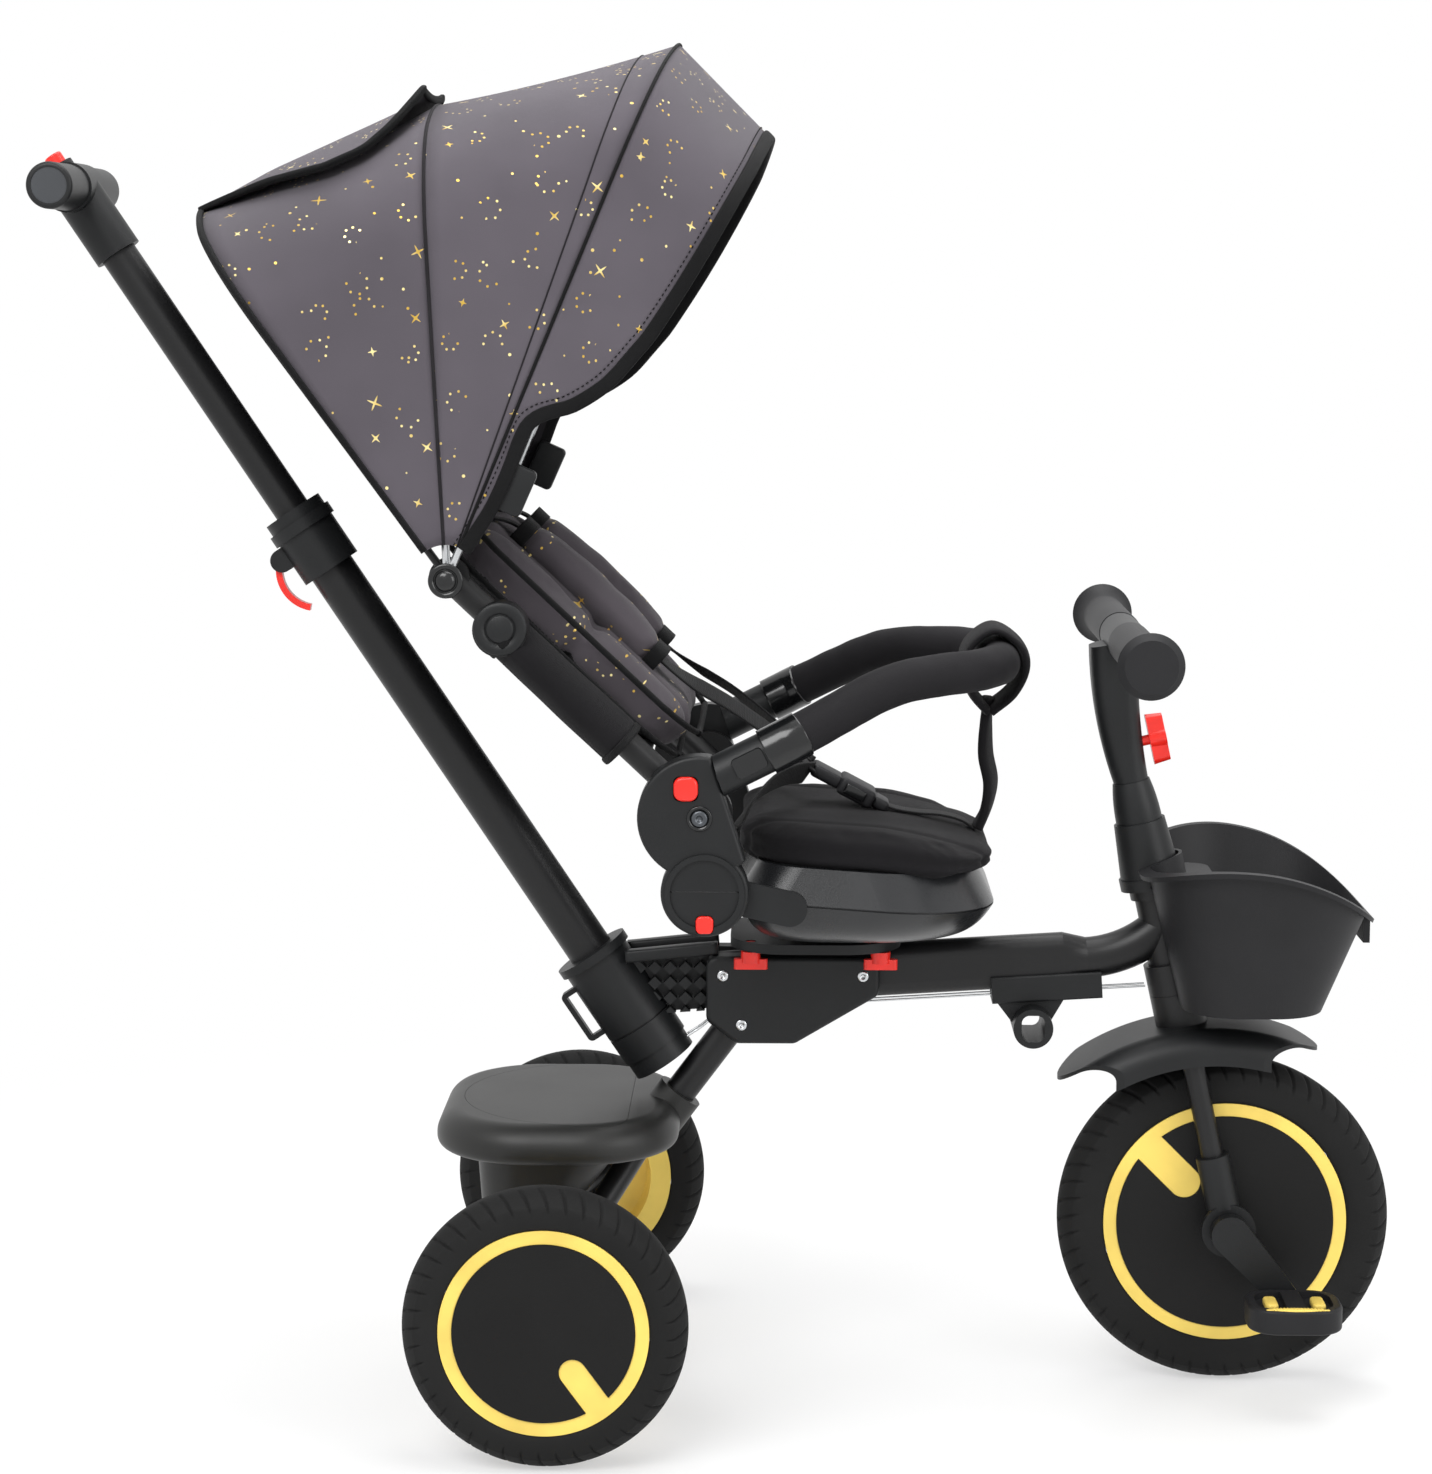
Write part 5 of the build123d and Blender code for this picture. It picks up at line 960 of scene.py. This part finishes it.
def between(low_hoop, high_hoop, steps, sag):
    """Rows of cloth stretched from one bow to the next, dipping a little between them."""
    heart = hood_pivot + Vector((0.05, 0, 0.12))
    ends = list(zip(hood_path(low_hoop), hood_path(high_hoop)))
    rows = []
    for t in (step / steps for step in range(steps + 1)):
        row = []
        for a, b in ends:
            point = a.lerp(b, t)
            inward = heart - point
            inward.x *= 0.3
            height = max(0.0, (point - hood_pivot).length - 0.06)
            dip = sag * 4 * t * (1 - t) * min(1.0, height / 0.2)
            row.append(point + inward.normalized() * dip)
        rows.append(row)
    return rows


def blend_between(piece, low_bow, high_bow):
    """Bake a piece's placement into its mesh; the piece is not tied to the two bows and does not follow them as
    they move.
    """
    hood_point(low_bow[0], 0, 0.2)
    hood_point(high_bow[0], 0, 0.2)
    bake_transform(piece)


def visor_end(a, b):
    """Where the line from a front-bow point to its visor point meets the side profile."""
    low, high = 0.0, 1.0
    for _ in range(24):
        t = (low + high) / 2
        point = a.lerp(b, t)
        reach = math.hypot(point.x - hood_pivot.x, point.z - hood_pivot.z)
        if side_angle(point) > np.interp(reach, edge_reach, edge_angle):
            low = t
        else:
            high = t
    return a.lerp(b, low)


rear_line, mid_line, front_line = hood_path(rear_bow), hood_path(mid_bow), hood_path(front_bow)
edge_line = [visor_end(a, b) for a, b in zip(front_line, hood_path(visor_hoop))]
visor_rows = [[a.lerp(b, t) for a, b in zip(front_line, edge_line)] for t in np.linspace(0, 1, 13)]

rear_rows = between(rear_bow, mid_bow, steps=12, sag=0.004)
top_rows = between(mid_bow, front_bow, steps=12, sag=0.003)
rear_patch = hood_patch("HoodRear", rear_rows)
blend_between(rear_patch, rear_bow, mid_bow)
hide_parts("canopy_fabric")
top_patch = hood_patch("HoodTop", top_rows)
blend_between(top_patch, mid_bow, front_bow)
visor_patch = hood_patch("HoodVisor", visor_rows)
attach(visor_patch, "canopy_front")

# Rear wall of the hood, between the sides of the rear bow

wall_belly = 0.004
wall_rows = []
for point in rear_line[: len(rear_line) // 2 + 1]:
    row = []
    for t in np.linspace(0, 1, 15):
        belly = wall_belly * (1 - (2 * t - 1) ** 2) * min(1.0, abs(point.y) / 0.1)
        row.append(Vector((point.x, point.y * (1 - 2 * t), point.z)) + lean(rear_bow[0] + 90) * belly)
    wall_rows.append(row)
hood_wall = sheet_of_rows("HoodRearWall", wall_rows, lining_cloth)
thicken(hood_wall, thin_cloth_t)
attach(hood_wall, "backrest")
declare_sheet(wall_rows)

# Black binding round the edges, piping on the bows and the seam of the front bow's pocket


def hood_normal(t):
    """Way out of the hood from its middle, at a share of the way over a hoop."""
    return Vector((0.0, -math.cos(t * math.pi), math.sin(t * math.pi)))


def inward_of_edge(t):
    """Across the binding: from the front edge back into the cloth."""
    spot = min(int(t * (len(edge_line) - 1)), len(edge_line) - 1)
    return (front_line[spot] - edge_line[spot]).normalized()


pocket_line = between(mid_bow, front_bow, steps=40, sag=0.003)[34]
binding_section = rounded_section(0.0105, 0.0052)
piping_section = round_section(0.0026, 10)
seam_section = rounded_section(0.0016, 0.0014, 8, 2.0)
for name, line, section, cloth, body, side, count in (
    ("HoodFrontBinding", edge_line, binding_section, tape_cloth, "canopy_front", inward_of_edge, 180),
    ("HoodRearBinding", rear_line, rounded_section(0.007, 0.005), tape_cloth, "backrest", hood_normal, 120),
    ("HoodFrontPiping", front_line, piping_section, tape_cloth, "canopy_front", hood_normal, 140),
    ("HoodMidPiping", mid_line, piping_section, lining_cloth, "canopy_mid", hood_normal, 120),
    ("BowPocketSeam", pocket_line, seam_section, lining_cloth, "canopy_front", hood_normal, 140),
):
    swept_piece(name, line, section, cloth, body, side, count)

# Roof flap over the rear panel: sewn down behind, free at its lifted front corners, bound in black

flap_columns, flap_end = 41, 0.965
flap_gap, flap_rise, corner_rise = 0.0030, 0.0050, 0.011
flap_shares = [0.0, 0.3, 0.55, 0.72, 0.85, 1.0]
flap_drops = [0.003, 0.012, 0.021, 0.022, 0.016, 0.004]
flap_rows = []
for t in np.linspace(0.0, flap_end, 22):
    line = [a.lerp(b, t) for a, b in zip(rear_line, mid_line)]
    crown = len(line) // 2
    up = lean(rear_bow[0] + (mid_bow[0] - rear_bow[0]) * t)
    rises = [(p - line[crown]).dot(up) for p in line[: crown + 1]]
    first = float(np.interp(-np.interp(t, flap_shares, flap_drops), rises, range(crown + 1)))
    row = []
    for spot in np.linspace(first, len(line) - 1 - first, flap_columns):
        k = min(int(spot), len(line) - 2)
        point = line[k].lerp(line[k + 1], spot - k)
        away = Vector((0, point.y, point.z - hood_pivot.z - 0.15)).normalized()
        rim = abs(spot - crown) / (crown - first)
        corner_lift = corner_rise * max(0.0, (t - 0.7) / 0.265) ** 2 * rim**2
        row.append(point + away * (flap_gap + flap_rise * min(1.0, t / 0.3) + corner_lift))
    flap_rows.append(row)
flap_spine = [row[flap_columns // 2] for row in flap_rows]
flap_uvs = [(p.y, (spine - flap_spine[0]).length) for row, spine in zip(flap_rows, flap_spine) for p in row]
roof_flap = sheet_of_rows("HoodRoofFlap", flap_rows, hood_cloth, flap_uvs)
if roof_flap.data.polygons[len(roof_flap.data.polygons) // 2].normal.z < 0:
    roof_flap.data.flip_normals()
thicken(roof_flap, thin_cloth_t, lining_cloth)
flap_outline = [row[0] for row in flap_rows] + flap_rows[-1][1:-1] + [row[-1] for row in flap_rows[::-1]]
flap_section = rounded_section(0.0060, 0.0046)
flap_binding = swept_piece("HoodFlapBinding", flap_outline, flap_section, tape_cloth, side=hood_normal, count=170)
for soft in (roof_flap, flap_binding):
    blend_between(soft, rear_bow, mid_bow)
declare_sheet(flap_rows)

# Stitches beside the front binding

stitch_profile = [(0.0003, -0.0011), (0.0005, -0.0008), (0.0005, 0.0008), (0.0003, 0.0011)]
stitch_inset, stitch_lift, stitch_pitch = 0.0085, 0.0006, 0.004
stitch_line = []
for edge, bow in zip(edge_line, front_line):
    lift = Vector((0, math.copysign(stitch_lift, edge.y), stitch_lift))
    stitch_line.append(edge + (bow - edge).normalized() * stitch_inset + lift)
stitch_path, _ = smooth_path(stitch_line, 160)
stitch = unit_from("StitchUnit", stitch_profile, 6)
units_along_line("HoodStitches", stitch_path, stitch, stitch_pitch, black_cloth, "canopy_front")


# Seat cushion

seat_forward, seat_up = lean(-4.0), lean(86.0)
cushion_len, cushion_deep = 0.202, 0.025
cushion_size = (cushion_len, 0.270, cushion_deep)
cushion_mid = middle_of("seat_cushion") - seat_forward * 0.007
cushion_axes = (seat_forward, left, seat_up)
seat_cushion = pillow(
    "RidingCushion", cushion_mid, cushion_axes, cushion_size, black_cloth, corner=0.066, voxel=0.004
)
fill_out(seat_cushion, pressure=4.0, cap=0.005)
cushion_seams = (
    lambda p: np.abs(p[:, 1]) - 0.092,
    lambda p: (p - np.array(cushion_mid)) @ np.array(seat_up) + 0.001,
)
sew_in(seat_cushion, cushion_seams, depth=0.0024, width=0.004)
crumple(seat_cushion, height=0.0010, size=0.055, seed=3)


def thin_front(piece):
    """Flatten the cushion towards its front edge and turn that edge up a little."""
    thin_from, thinning, turn_up = 0.010, 0.52, 0.0045
    points = points_of(piece.data)
    local = points - np.array(cushion_mid)
    forward, up = local @ np.array(seat_forward), local @ np.array(seat_up)
    share = np.clip((forward - thin_from) / (cushion_len / 2 - thin_from), 0.0, 1.0)
    lower = (up + cushion_deep / 2) * (thinning * share**1.4)
    lift = turn_up * np.clip((share - 0.55) / 0.45, 0.0, 1.0) ** 2
    set_points(piece.data, points + np.outer(lift - lower, np.array(seat_up)))


thin_front(seat_cushion)
soften(seat_cushion)
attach(seat_cushion, "seat")
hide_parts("seat_cushion")

# Back pad: a printed cover with black piping, black behind

pad_from, pad_to, pad_half_w, pad_rest, pad_deep = 0.040, 0.276, 0.122, 0.0083, 0.032
pad_corner, piping_overhang = 0.045, 0.002
pad_middle = on_back((pad_from + pad_to) / 2, 0, pad_rest + pad_deep / 2)
pad_size = (2 * pad_half_w, pad_to - pad_from, pad_deep)
back_axes = (left, back_up, back_front)
back_pad = pillow("BackPad", pad_middle, back_axes, pad_size, pad_cloth, pad_corner)
fill_out(back_pad, pressure=4.0, cap=0.006)


def along_back(points):
    return (points - np.array(recline)) @ np.array(back_up)


pad_seams = (lambda p: np.abs(p[:, 1]) - 0.080, lambda p: along_back(p) - 0.150)
sew_in(back_pad, pad_seams, depth=0.006, width=0.006)
crumple(back_pad, height=0.0012, size=0.06, seed=5)
soften(back_pad)
back_pad.data.materials.append(black_cloth)
for polygon in back_pad.data.polygons:
    if polygon.normal.dot(back_front) < -0.55:
        polygon.material_index = 1
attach(back_pad, "backrest")
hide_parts("backrest_pad")


def pad_rim(out):
    """Closed outline of the back pad at a height off the backrest."""
    reach = pad_half_w + piping_overhang - pad_corner
    low, high = pad_from - piping_overhang + pad_corner, pad_to + piping_overhang - pad_corner
    outline = []
    for quarter, (side, level) in enumerate(((1, high), (-1, high), (-1, low), (1, low))):
        for turn in range(0, 91, 15):
            spin = math.radians(quarter * 90 + turn)
            y = side * reach + pad_corner * math.cos(spin)
            outline.append(on_back(level + pad_corner * math.sin(spin), y, out))
    return outline + outline[:1]


pad_piping = round_section(0.0048, 12)
for label, out in (("Front", pad_rest + pad_deep - 0.0035), ("Rear", pad_rest + 0.005)):
    name, outline = f"BackPadPiping{label}", pad_rim(out)
    swept_piece(name, outline, pad_piping, tape_cloth, "backrest", back_front, count=160)

# Shoulder pads and the harness

shoulder_y, shoulder_out, shoulder_size = 0.052, 0.0535, (0.042, 0.138, 0.023)
roll_seams = (lambda p: along_back(p) - 0.107, lambda p: along_back(p) - 0.231)
cuff_section = rounded_section(0.041, 0.022, 28, 3.0)
for side, label in both_sides:
    y = side * shoulder_y
    middle = on_back(0.169, y, shoulder_out)
    name = f"ShoulderPad{label}"
    roll = pillow(name, middle, back_axes, shoulder_size, pad_cloth, corner=0.014, voxel=0.0035)
    fill_out(roll, pressure=5.0, cap=0.005)
    sew_in(roll, roll_seams, depth=0.0016, width=0.003)
    crumple(roll, height=0.0006, size=0.03, seed=17)
    soften(roll)
    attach(roll, "backrest")
    if label == "Right":
        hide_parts("shoulder_pads")
    for end, place in (("Low", 0.101), ("High", 0.237)):
        cuff = [on_back(place + step, y, shoulder_out) for step in (-0.006, 0.0, 0.006)]
        swept_piece(f"ShoulderCuff{label}{end}", cuff, cuff_section, tape_cloth, "backrest", count=9)

strap_t = 0.0022
strap_section = rounded_section(0.021, strap_t, 16, 5.0)
buckle_forward, buckle_up = lean(-28.0), lean(62.0)
buckle_at = ahead(0.223, 0, 0.4725)
buckle_rear = buckle_at - buckle_forward * 0.033
buckle_front = buckle_at + buckle_forward * 0.030
for side, label in both_sides:
    y = side * shoulder_y

    def shoulder_twist(t, side=side):
        """Across the strap: level over the pad, then turned to stand on edge towards the buckle."""
        turn = min(1.0, max(0.0, (t - 0.08) / 0.24)) * 0.45
        turn *= 1.0 - min(1.0, max(0.0, (t - 0.76) / 0.24))
        return Vector((0.0, math.cos(turn), -side * math.sin(turn)))

    shoulder = [
        on_back(0.112, y, shoulder_out),
        on_back(0.094, y, 0.0540),
        *line_ahead((0.104, y * 0.98, 0.5590), (0.132, y * 0.90, 0.5420)),
        *line_ahead((0.158, y * 0.72, 0.5230), (0.178, y * 0.50, 0.5060)),
        buckle_rear + left * (y * 0.24) + buckle_up * 0.001,
    ]
    name = f"ShoulderStrap{label}"
    strap = swept_piece(name, shoulder, strap_section, strap_cloth, side=shoulder_twist, count=80)
    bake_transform(strap)
    tuck_places = ((0.226, shoulder_out), (0.246, 0.0530), (0.262, 0.0440), (0.266, 0.0310))
    tuck = [on_back(along, y, out) for along, out in tuck_places]
    swept_piece(f"ShoulderTuck{label}", tuck, strap_section, strap_cloth, "backrest", count=30)
    lap = [
        *line_ahead((0.136, side * 0.138, 0.4560), (0.146, side * 0.118, 0.4720)),
        *line_ahead((0.160, side * 0.088, 0.4840), (0.178, side * 0.050, 0.4880)),
        buckle_rear + left * (side * 0.013) - buckle_up * 0.004,
    ]
    swept_piece(f"LapStrap{label}", lap, strap_section, strap_cloth, "seat", Vector((0.6, 0, 0.8)))
crotch = [
    buckle_front,
    *line_ahead((0.2620, 0, 0.4545), (0.2780, 0, 0.4520), (0.2960, 0, 0.4505)),
    *line_ahead((0.3120, 0, 0.4460), (0.3210, 0, 0.4390)),
]
crotch_section = rounded_section(0.020, strap_t, 16, 5.0)
swept_piece("CrotchStrap", crotch, crotch_section, strap_cloth, "seat", count=50)

buckle_axes = (buckle_forward, left, buckle_up)
for label, along, size in (
    ("BuckleTongue", -0.019, (0.026, 0.034, 0.010)),
    ("BuckleBody", 0.007, (0.030, 0.040, 0.014)),
    ("BuckleAdjuster", 0.028, (0.014, 0.030, 0.009)),
):
    place = buckle_at + buckle_forward * along
    rounded_block(label, place, buckle_axes, size, soft_black_plastic, "seat", top_bevel=0.003)
key_size = (0.018, 0.005, 0.008)
for side, label in both_sides:
    place = buckle_at + buckle_forward * 0.006 + left * (side * 0.0195)
    name = f"BuckleKey{label}"
    rounded_block(name, place, buckle_axes, key_size, glossy_black, "seat", corner=0.002, top_bevel=0.001)

# Bumper bar: a foam sleeve, a cloth wrap at the front and the strap down to the seat

bumper_path = [
    *line_ahead((0.1605, -0.157, 0.5200), (0.178, -0.1565, 0.5290), (0.202, -0.150, 0.5415)),
    *line_ahead((0.222, -0.141, 0.5520), (0.243, -0.131, 0.5620), (0.265, -0.120, 0.5685)),
    *line_ahead((0.296, -0.100, 0.5716), (0.318, -0.083, 0.5723), (0.332, -0.060, 0.5729)),
    ahead(0.338, -0.034, 0.5730),
]
bumper_path += mirrored(bumper_path)


def foam_swell(t):
    """Slight tightening of the foam sleeve at its ends."""
    return 0.955 + 0.045 * min(1.0, t / 0.03, (1 - t) / 0.03)


sleeve_section = round_section(0.0318, 28)
sleeve = swept_piece(
    "BumperSleeve", bumper_path, sleeve_section, bumper_foam, side=upward, count=150, size=foam_swell
)
crumple(sleeve, height=0.0003, size=0.02, seed=11)
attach(sleeve, "bumper")
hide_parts("bumper_bar")

collar_section = round_section(0.0350, 32)
for label, ends in (("Right", bumper_path[:3]), ("Left", bumper_path[:-4:-1])):
    collar = [ends[0], ends[0].lerp(ends[1], 0.6), ends[1], ends[1].lerp(ends[2], 0.35)]
    swept_piece(f"BumperCollar{label}", collar, collar_section, glossy_black, "bumper", upward, count=24)

sling = [
    *line_ahead((0.3325, 0, 0.5330), (0.3500, 0, 0.5480), (0.3590, 0, 0.5680), (0.3540, 0, 0.5850)),
    ahead(0.3350, 0, 0.5965),
    *line_ahead((0.3170, 0, 0.5850), (0.3120, 0, 0.5680), (0.3180, 0, 0.5480), (0.3305, 0, 0.5330)),
]
sling_section = rounded_section(0.066, 0.0076, 24, 3.0)
sling_band = swept_piece("BumperSling", sling, sling_section, black_cloth, "bumper", count=90)


def tail_twist(t):
    """Across the tail strap: it turns a little between the sling and the seat."""
    return Vector((0.30 * math.sin(math.pi * t), 1.0, 0.0))


tail = [
    *line_ahead((0.3315, 0, 0.5420), (0.3300, 0, 0.5220), (0.3300, 0, 0.4980)),
    *line_ahead((0.3340, 0, 0.4760), (0.3310, 0, 0.4560), (0.3240, 0, 0.4400)),
]
tail_section = rounded_section(0.030, 0.0086, 20, 3.0)
tail_band = swept_piece("BumperTail", tail, tail_section, black_cloth, "bumper", tail_twist)


# Cloth cover behind the backrest, round its tubes

cover_from, cover_to = 0.078, 0.192
cover_wrap = (
    (-0.128, 0.0135), (-0.146, 0.0125), (-0.1615, 0.0030), (-0.1630, -0.0090), (-0.1480, -0.0185),
    (-0.110, -0.0200),
)
cover_rows = []
for along in np.linspace(cover_from, cover_to, 15):
    swell = 1 + 0.03 * math.sin((along - cover_from) / (cover_to - cover_from) * math.pi)
    wrap = [on_back(along, y * swell, out) for y, out in cover_wrap]
    middle = []
    for y in np.linspace(-0.09, 0.09, 9):
        middle.append(on_back(along, y, -0.0215 - 0.004 * math.cos(y / 0.11 * math.pi / 2)))
    cover_rows.append(wrap + middle + mirrored(wrap))
back_cover = sheet_of_rows("BackCover", cover_rows, black_cloth)
crumple(back_cover, height=0.0008, size=0.05, seed=8)
thicken(back_cover, 0.002)
soften(back_cover)
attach(back_cover, "backrest")
declare_sheet(cover_rows)
hem_section = rounded_section(0.006, 0.0042)
for end, label in ((0, "Low"), (-1, "High")):
    name, hem = f"BackCoverHem{label}", cover_rows[end]
    swept_piece(name, hem, hem_section, tape_cloth, "backrest", back_up, count=120)


# Fastenings and small trim: turned profiles as (radius, height) in millimetres


def turned_mm(name, sides, *profile):
    return unit_from(name, [(radius / 1000, height / 1000) for radius, height in profile], sides)


screw_head = turned_mm("ScrewHead", 24, (4.6, -1), (4.6, 1.2), (4, 2), (2, 2.3), (1.8, 0.8), (0.1, 0.7))
ear_screw = turned_mm("EarScrew", 32, (6, -1), (6, 1.6), (5.4, 2.2), (2.6, 2.5), (2.3, 1), (0.1, 0.8))
ear_washer = turned_mm("EarWasher", 40, (9.4, -1), (9.4, 0.9), (8.7, 1.5), (7.4, 1.2), (6.6, 0.3), (0.1, 0.2))
pivot_cap = turned_mm(
    "PivotCap", 40,
    (12.8, -1), (12.8, 1.6), (12, 2.4), (9.2, 2.4), (8.7, 1), (7.8, 1), (7.2, 2.6), (4.8, 4), (0.1, 4.6),
)
joint_cap = turned_mm(
    "JointCap", 48,
    (19.6, -1), (19.6, 1.2), (18.6, 2.2), (11.8, 2.2), (11.2, 0.8), (10.4, 0.8), (9.9, 2.6), (8.8, 3.2),
    (0.1, 3.4),
)


def side_face(node, x, z, side):
    """Where a node's outer side is, at x forward of the rear axle and a height, or None."""
    piece = nodes[node]
    place = piece.matrix_world.inverted()
    start, way = place @ ahead(x, side * 0.4, z), place.to_3x3() @ (left * -side)
    hit, point, _, _ = piece.ray_cast(start, way.normalized())
    return piece.matrix_world @ point if hit else None


def side_marks(node, *places):
    """Marks on both outer sides of a node at (forward of the rear axle, height) places."""
    found = [(side_face(node, x, z, side), left * side) for side, _ in both_sides for x, z in places]
    return [(place, way) for place, way in found if place]


cover_screws = side_marks("side_covers", (0.126, 0.327), (0.235, 0.327), (0.1405, 0.288))
recline_marks = side_marks("seat_ears", (recline.x - rear_hub.x, recline.z))
pivot_marks = side_marks("backrest_frame", (hood_pivot.x - rear_hub.x, hood_pivot.z))
joint_marks = side_marks("backrest_frame", (-0.034, 0.611))
units_on_marks("CoverScrews", cover_screws, screw_head, silver_metal, "base")
units_on_marks("ReclineScrews", recline_marks, ear_screw, dark_metal, "seat")
units_on_marks("ReclineWashers", recline_marks, ear_washer, glossy_black, "seat")
units_on_marks("HoodPivotCaps", pivot_marks, pivot_cap, glossy_black, "backrest")
units_on_marks("BackJointCaps", joint_marks, joint_cap, black_plastic, "backrest")

# Seams across the lower discs of the ears

disc_mid, disc_level, disc_reach = 0.1153, 0.4175, 0.0275
ear_seam_section = round_section(0.0008, 10)
for side, label in both_sides:
    face = side_face("seat_ears", disc_mid, disc_level, side)
    seam = [ahead(disc_mid + x, face.y, disc_level) for x in (-disc_reach, 0.0, disc_reach)]
    swept_piece(f"EarSeam{label}", seam, ear_seam_section, glossy_black, "seat", upward, count=12)

# Rounded caps of the recline buttons

button_axes = (lean(90.0), lean(0.0), left)
for label in ("right", "left"):
    low, high = (Vector(corner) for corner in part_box(f"recline_button_{label}"))
    middle, corner = (low + high) / 2, (high.z - low.z) * 0.36
    size = (high.z - low.z, high.x - low.x, high.y - low.y)
    name, body = f"ReclineButtonCap_{label}", f"recline_key_{label}"
    cap = rounded_block(name, middle, button_axes, size, red_plastic, body, corner, top_bevel=0.0022)
    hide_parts(f"recline_button_{label}")

# Top rails of the lattice bracket, from the push socket to the side covers

rail_section = rounded_section(0.012, 0.010, 20, 5.0)
rail_places = ((0.050, 0.3400), (0.074, 0.3425), (0.098, 0.3450), (0.122, 0.3470))
for side, label in both_sides:
    rail = [ahead(x, side * 0.0195, z) for x, z in rail_places]
    swept_piece(f"BracketRail{label}", rail, rail_section, black_plastic, "base", count=20)

# Clips on the front edge of the hood, low on each side

clip_axes, clip_size = (lean(66.0), lean(-24.0), left), (0.036, 0.023, 0.009)
for side, label in both_sides:
    name, clip_at = f"HoodClip{label}", hood_point(53.0, side * 0.1610, 0.083)
    rounded_block(name, clip_at, clip_axes, clip_size, black_plastic, "canopy_front", top_bevel=0.0015)

# Yellow treads of the pedals: a ribbed strip on the outer edge and two pads in the pits

rib_unit = turned_mm("TreadRib", 8, (0.4, -2.4), (0.8, -2.0), (0.8, 2.0), (0.4, 2.4))
strip_section = rounded_section(0.0072, 0.0022, 16, 3.0)
strip_half, ribbed_half, strip_inset = 0.024, 0.018, 0.0046
tread_size = (0.010, 0.024, 0.0064)
tread_axes = (lean(0.0), left, lean(90.0))


def lens(t):
    """Share of the tread strip's full width at a share of its length."""
    return 0.30 + 0.70 * math.sin(math.pi * t)


for side, label in ((-1, "right"), (1, "left")):
    low, high = (Vector(corner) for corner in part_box(f"pedal_{label}"))
    middle = (low + high) / 2
    edge_y = (high.y if side > 0 else low.y) - side * strip_inset
    body = f"{label}_pedal"
    strip = [Vector((middle.x + strip_half * t, edge_y, high.z + 0.0001)) for t in (-1, -0.5, 0, 0.5, 1)]
    swept_piece(f"TreadStrip_{label}", strip, strip_section, yellow_plastic, body, count=40, size=lens)
    rib_places = np.linspace(-ribbed_half, ribbed_half, 15)
    ribs = [(Vector((middle.x + x, edge_y, high.z + 0.0007)), left) for x in rib_places]
    units_on_marks(f"TreadRibs_{label}", ribs, rib_unit, yellow_plastic, body)
    for x, end in ((-ribbed_half, "Rear"), (ribbed_half, "Front")):
        spot = Vector((middle.x + x, middle.y + side * 0.004, high.z - 0.0018))
        rounded_block(f"TreadPad{end}_{label}", spot, tread_axes, tread_size, yellow_plastic, body)


# Stage: a white sweep that keeps soft shadows, three large lights and the camera


def seen_share(kit):
    """1 for rays from the camera, and for those seen in gloss or through glass, else 0."""
    rays = kit.node("ShaderNodeLightPath")
    share = rays["Is Camera Ray"]
    for kind in ("Is Glossy Ray", "Is Transmission Ray"):
        share = share.math("MAXIMUM", rays[kind])
    return share


floor_size = 14.0
bpy.ops.mesh.primitive_plane_add(size=floor_size, location=(0, 0, 0))
floor = bpy.context.object
floor.name = "StudioFloor"
sweep = Finish("StudioSweep")
sweep.skin_set(base=(0.93, 0.93, 0.93), roughness=0.32, specular=0.18)
glow = sweep.node("ShaderNodeEmission", None, {"Color": (1.0, 1.0, 1.0), "Strength": 1.0})["Emission"]
x, y, _ = sweep.parts(sweep.place())
reach = sweep.math("SQRT", x * x + y * y)
fade = seen_share(sweep) * (0.5 + reach.rise(0.5, 1.3) * 0.5)
plain = Wire(sweep, sweep.skin.outputs["BSDF"])
faded = sweep.node("ShaderNodeMixShader", None, {0: fade, 1: plain, 2: glow})["Shader"]
sweep.feed(sweep.tree.nodes["Material Output"].inputs["Surface"], faded)
floor.data.materials.append(sweep.material)

shade_level, seen_level = 0.55, 1.0
world = bpy.data.worlds.new("StudioWorld")
scene.world = world
world.use_nodes = True
sky = ShaderKit(world.node_tree)
background = world.node_tree.nodes["Background"]
sky.feed(background.inputs["Color"], (1.0, 1.0, 1.0))
sky.feed(background.inputs["Strength"], seen_share(sky) * (seen_level - shade_level) + shade_level)


def soft_light(name, place, aim, size, power):
    lamp = bpy.data.lights.new(name, "AREA")
    lamp.shape = "RECTANGLE"
    lamp.size, lamp.size_y = size
    lamp.energy = power
    light = bpy.data.objects.new(name, lamp)
    light.location = place
    light.rotation_euler = (Vector(aim) - Vector(place)).to_track_quat("-Z", "Y").to_euler()
    light.visible_camera = False
    scene.collection.objects.link(light)


soft_light("KeySoftbox", (-1.1, -2.2, 2.6), (0, 0, 0.4), (1.8, 1.4), 62)
soft_light("TopSoftbox", (0.3, 0.2, 3.0), (0, 0, 0.3), (2.4, 2.0), 60)
soft_light("FillSoftbox", (2.2, -1.6, 1.3), (0, 0, 0.45), (1.4, 1.6), 26)

camera_down, camera_turn = 7.6009, 1.2654
camera = bpy.data.cameras.new("PhotoCamera")
camera.lens = 84.575
camera.sensor_width = 36.0
camera.clip_end = 50.0
viewer = bpy.data.objects.new("PhotoCamera", camera)
viewer.location = (0.04881, -2.67364, 0.86712)
viewer.rotation_euler = (math.radians(90 - camera_down), 0, math.radians(camera_turn))
scene.collection.objects.link(viewer)
scene.camera = viewer
scene.view_settings.view_transform = "Standard"
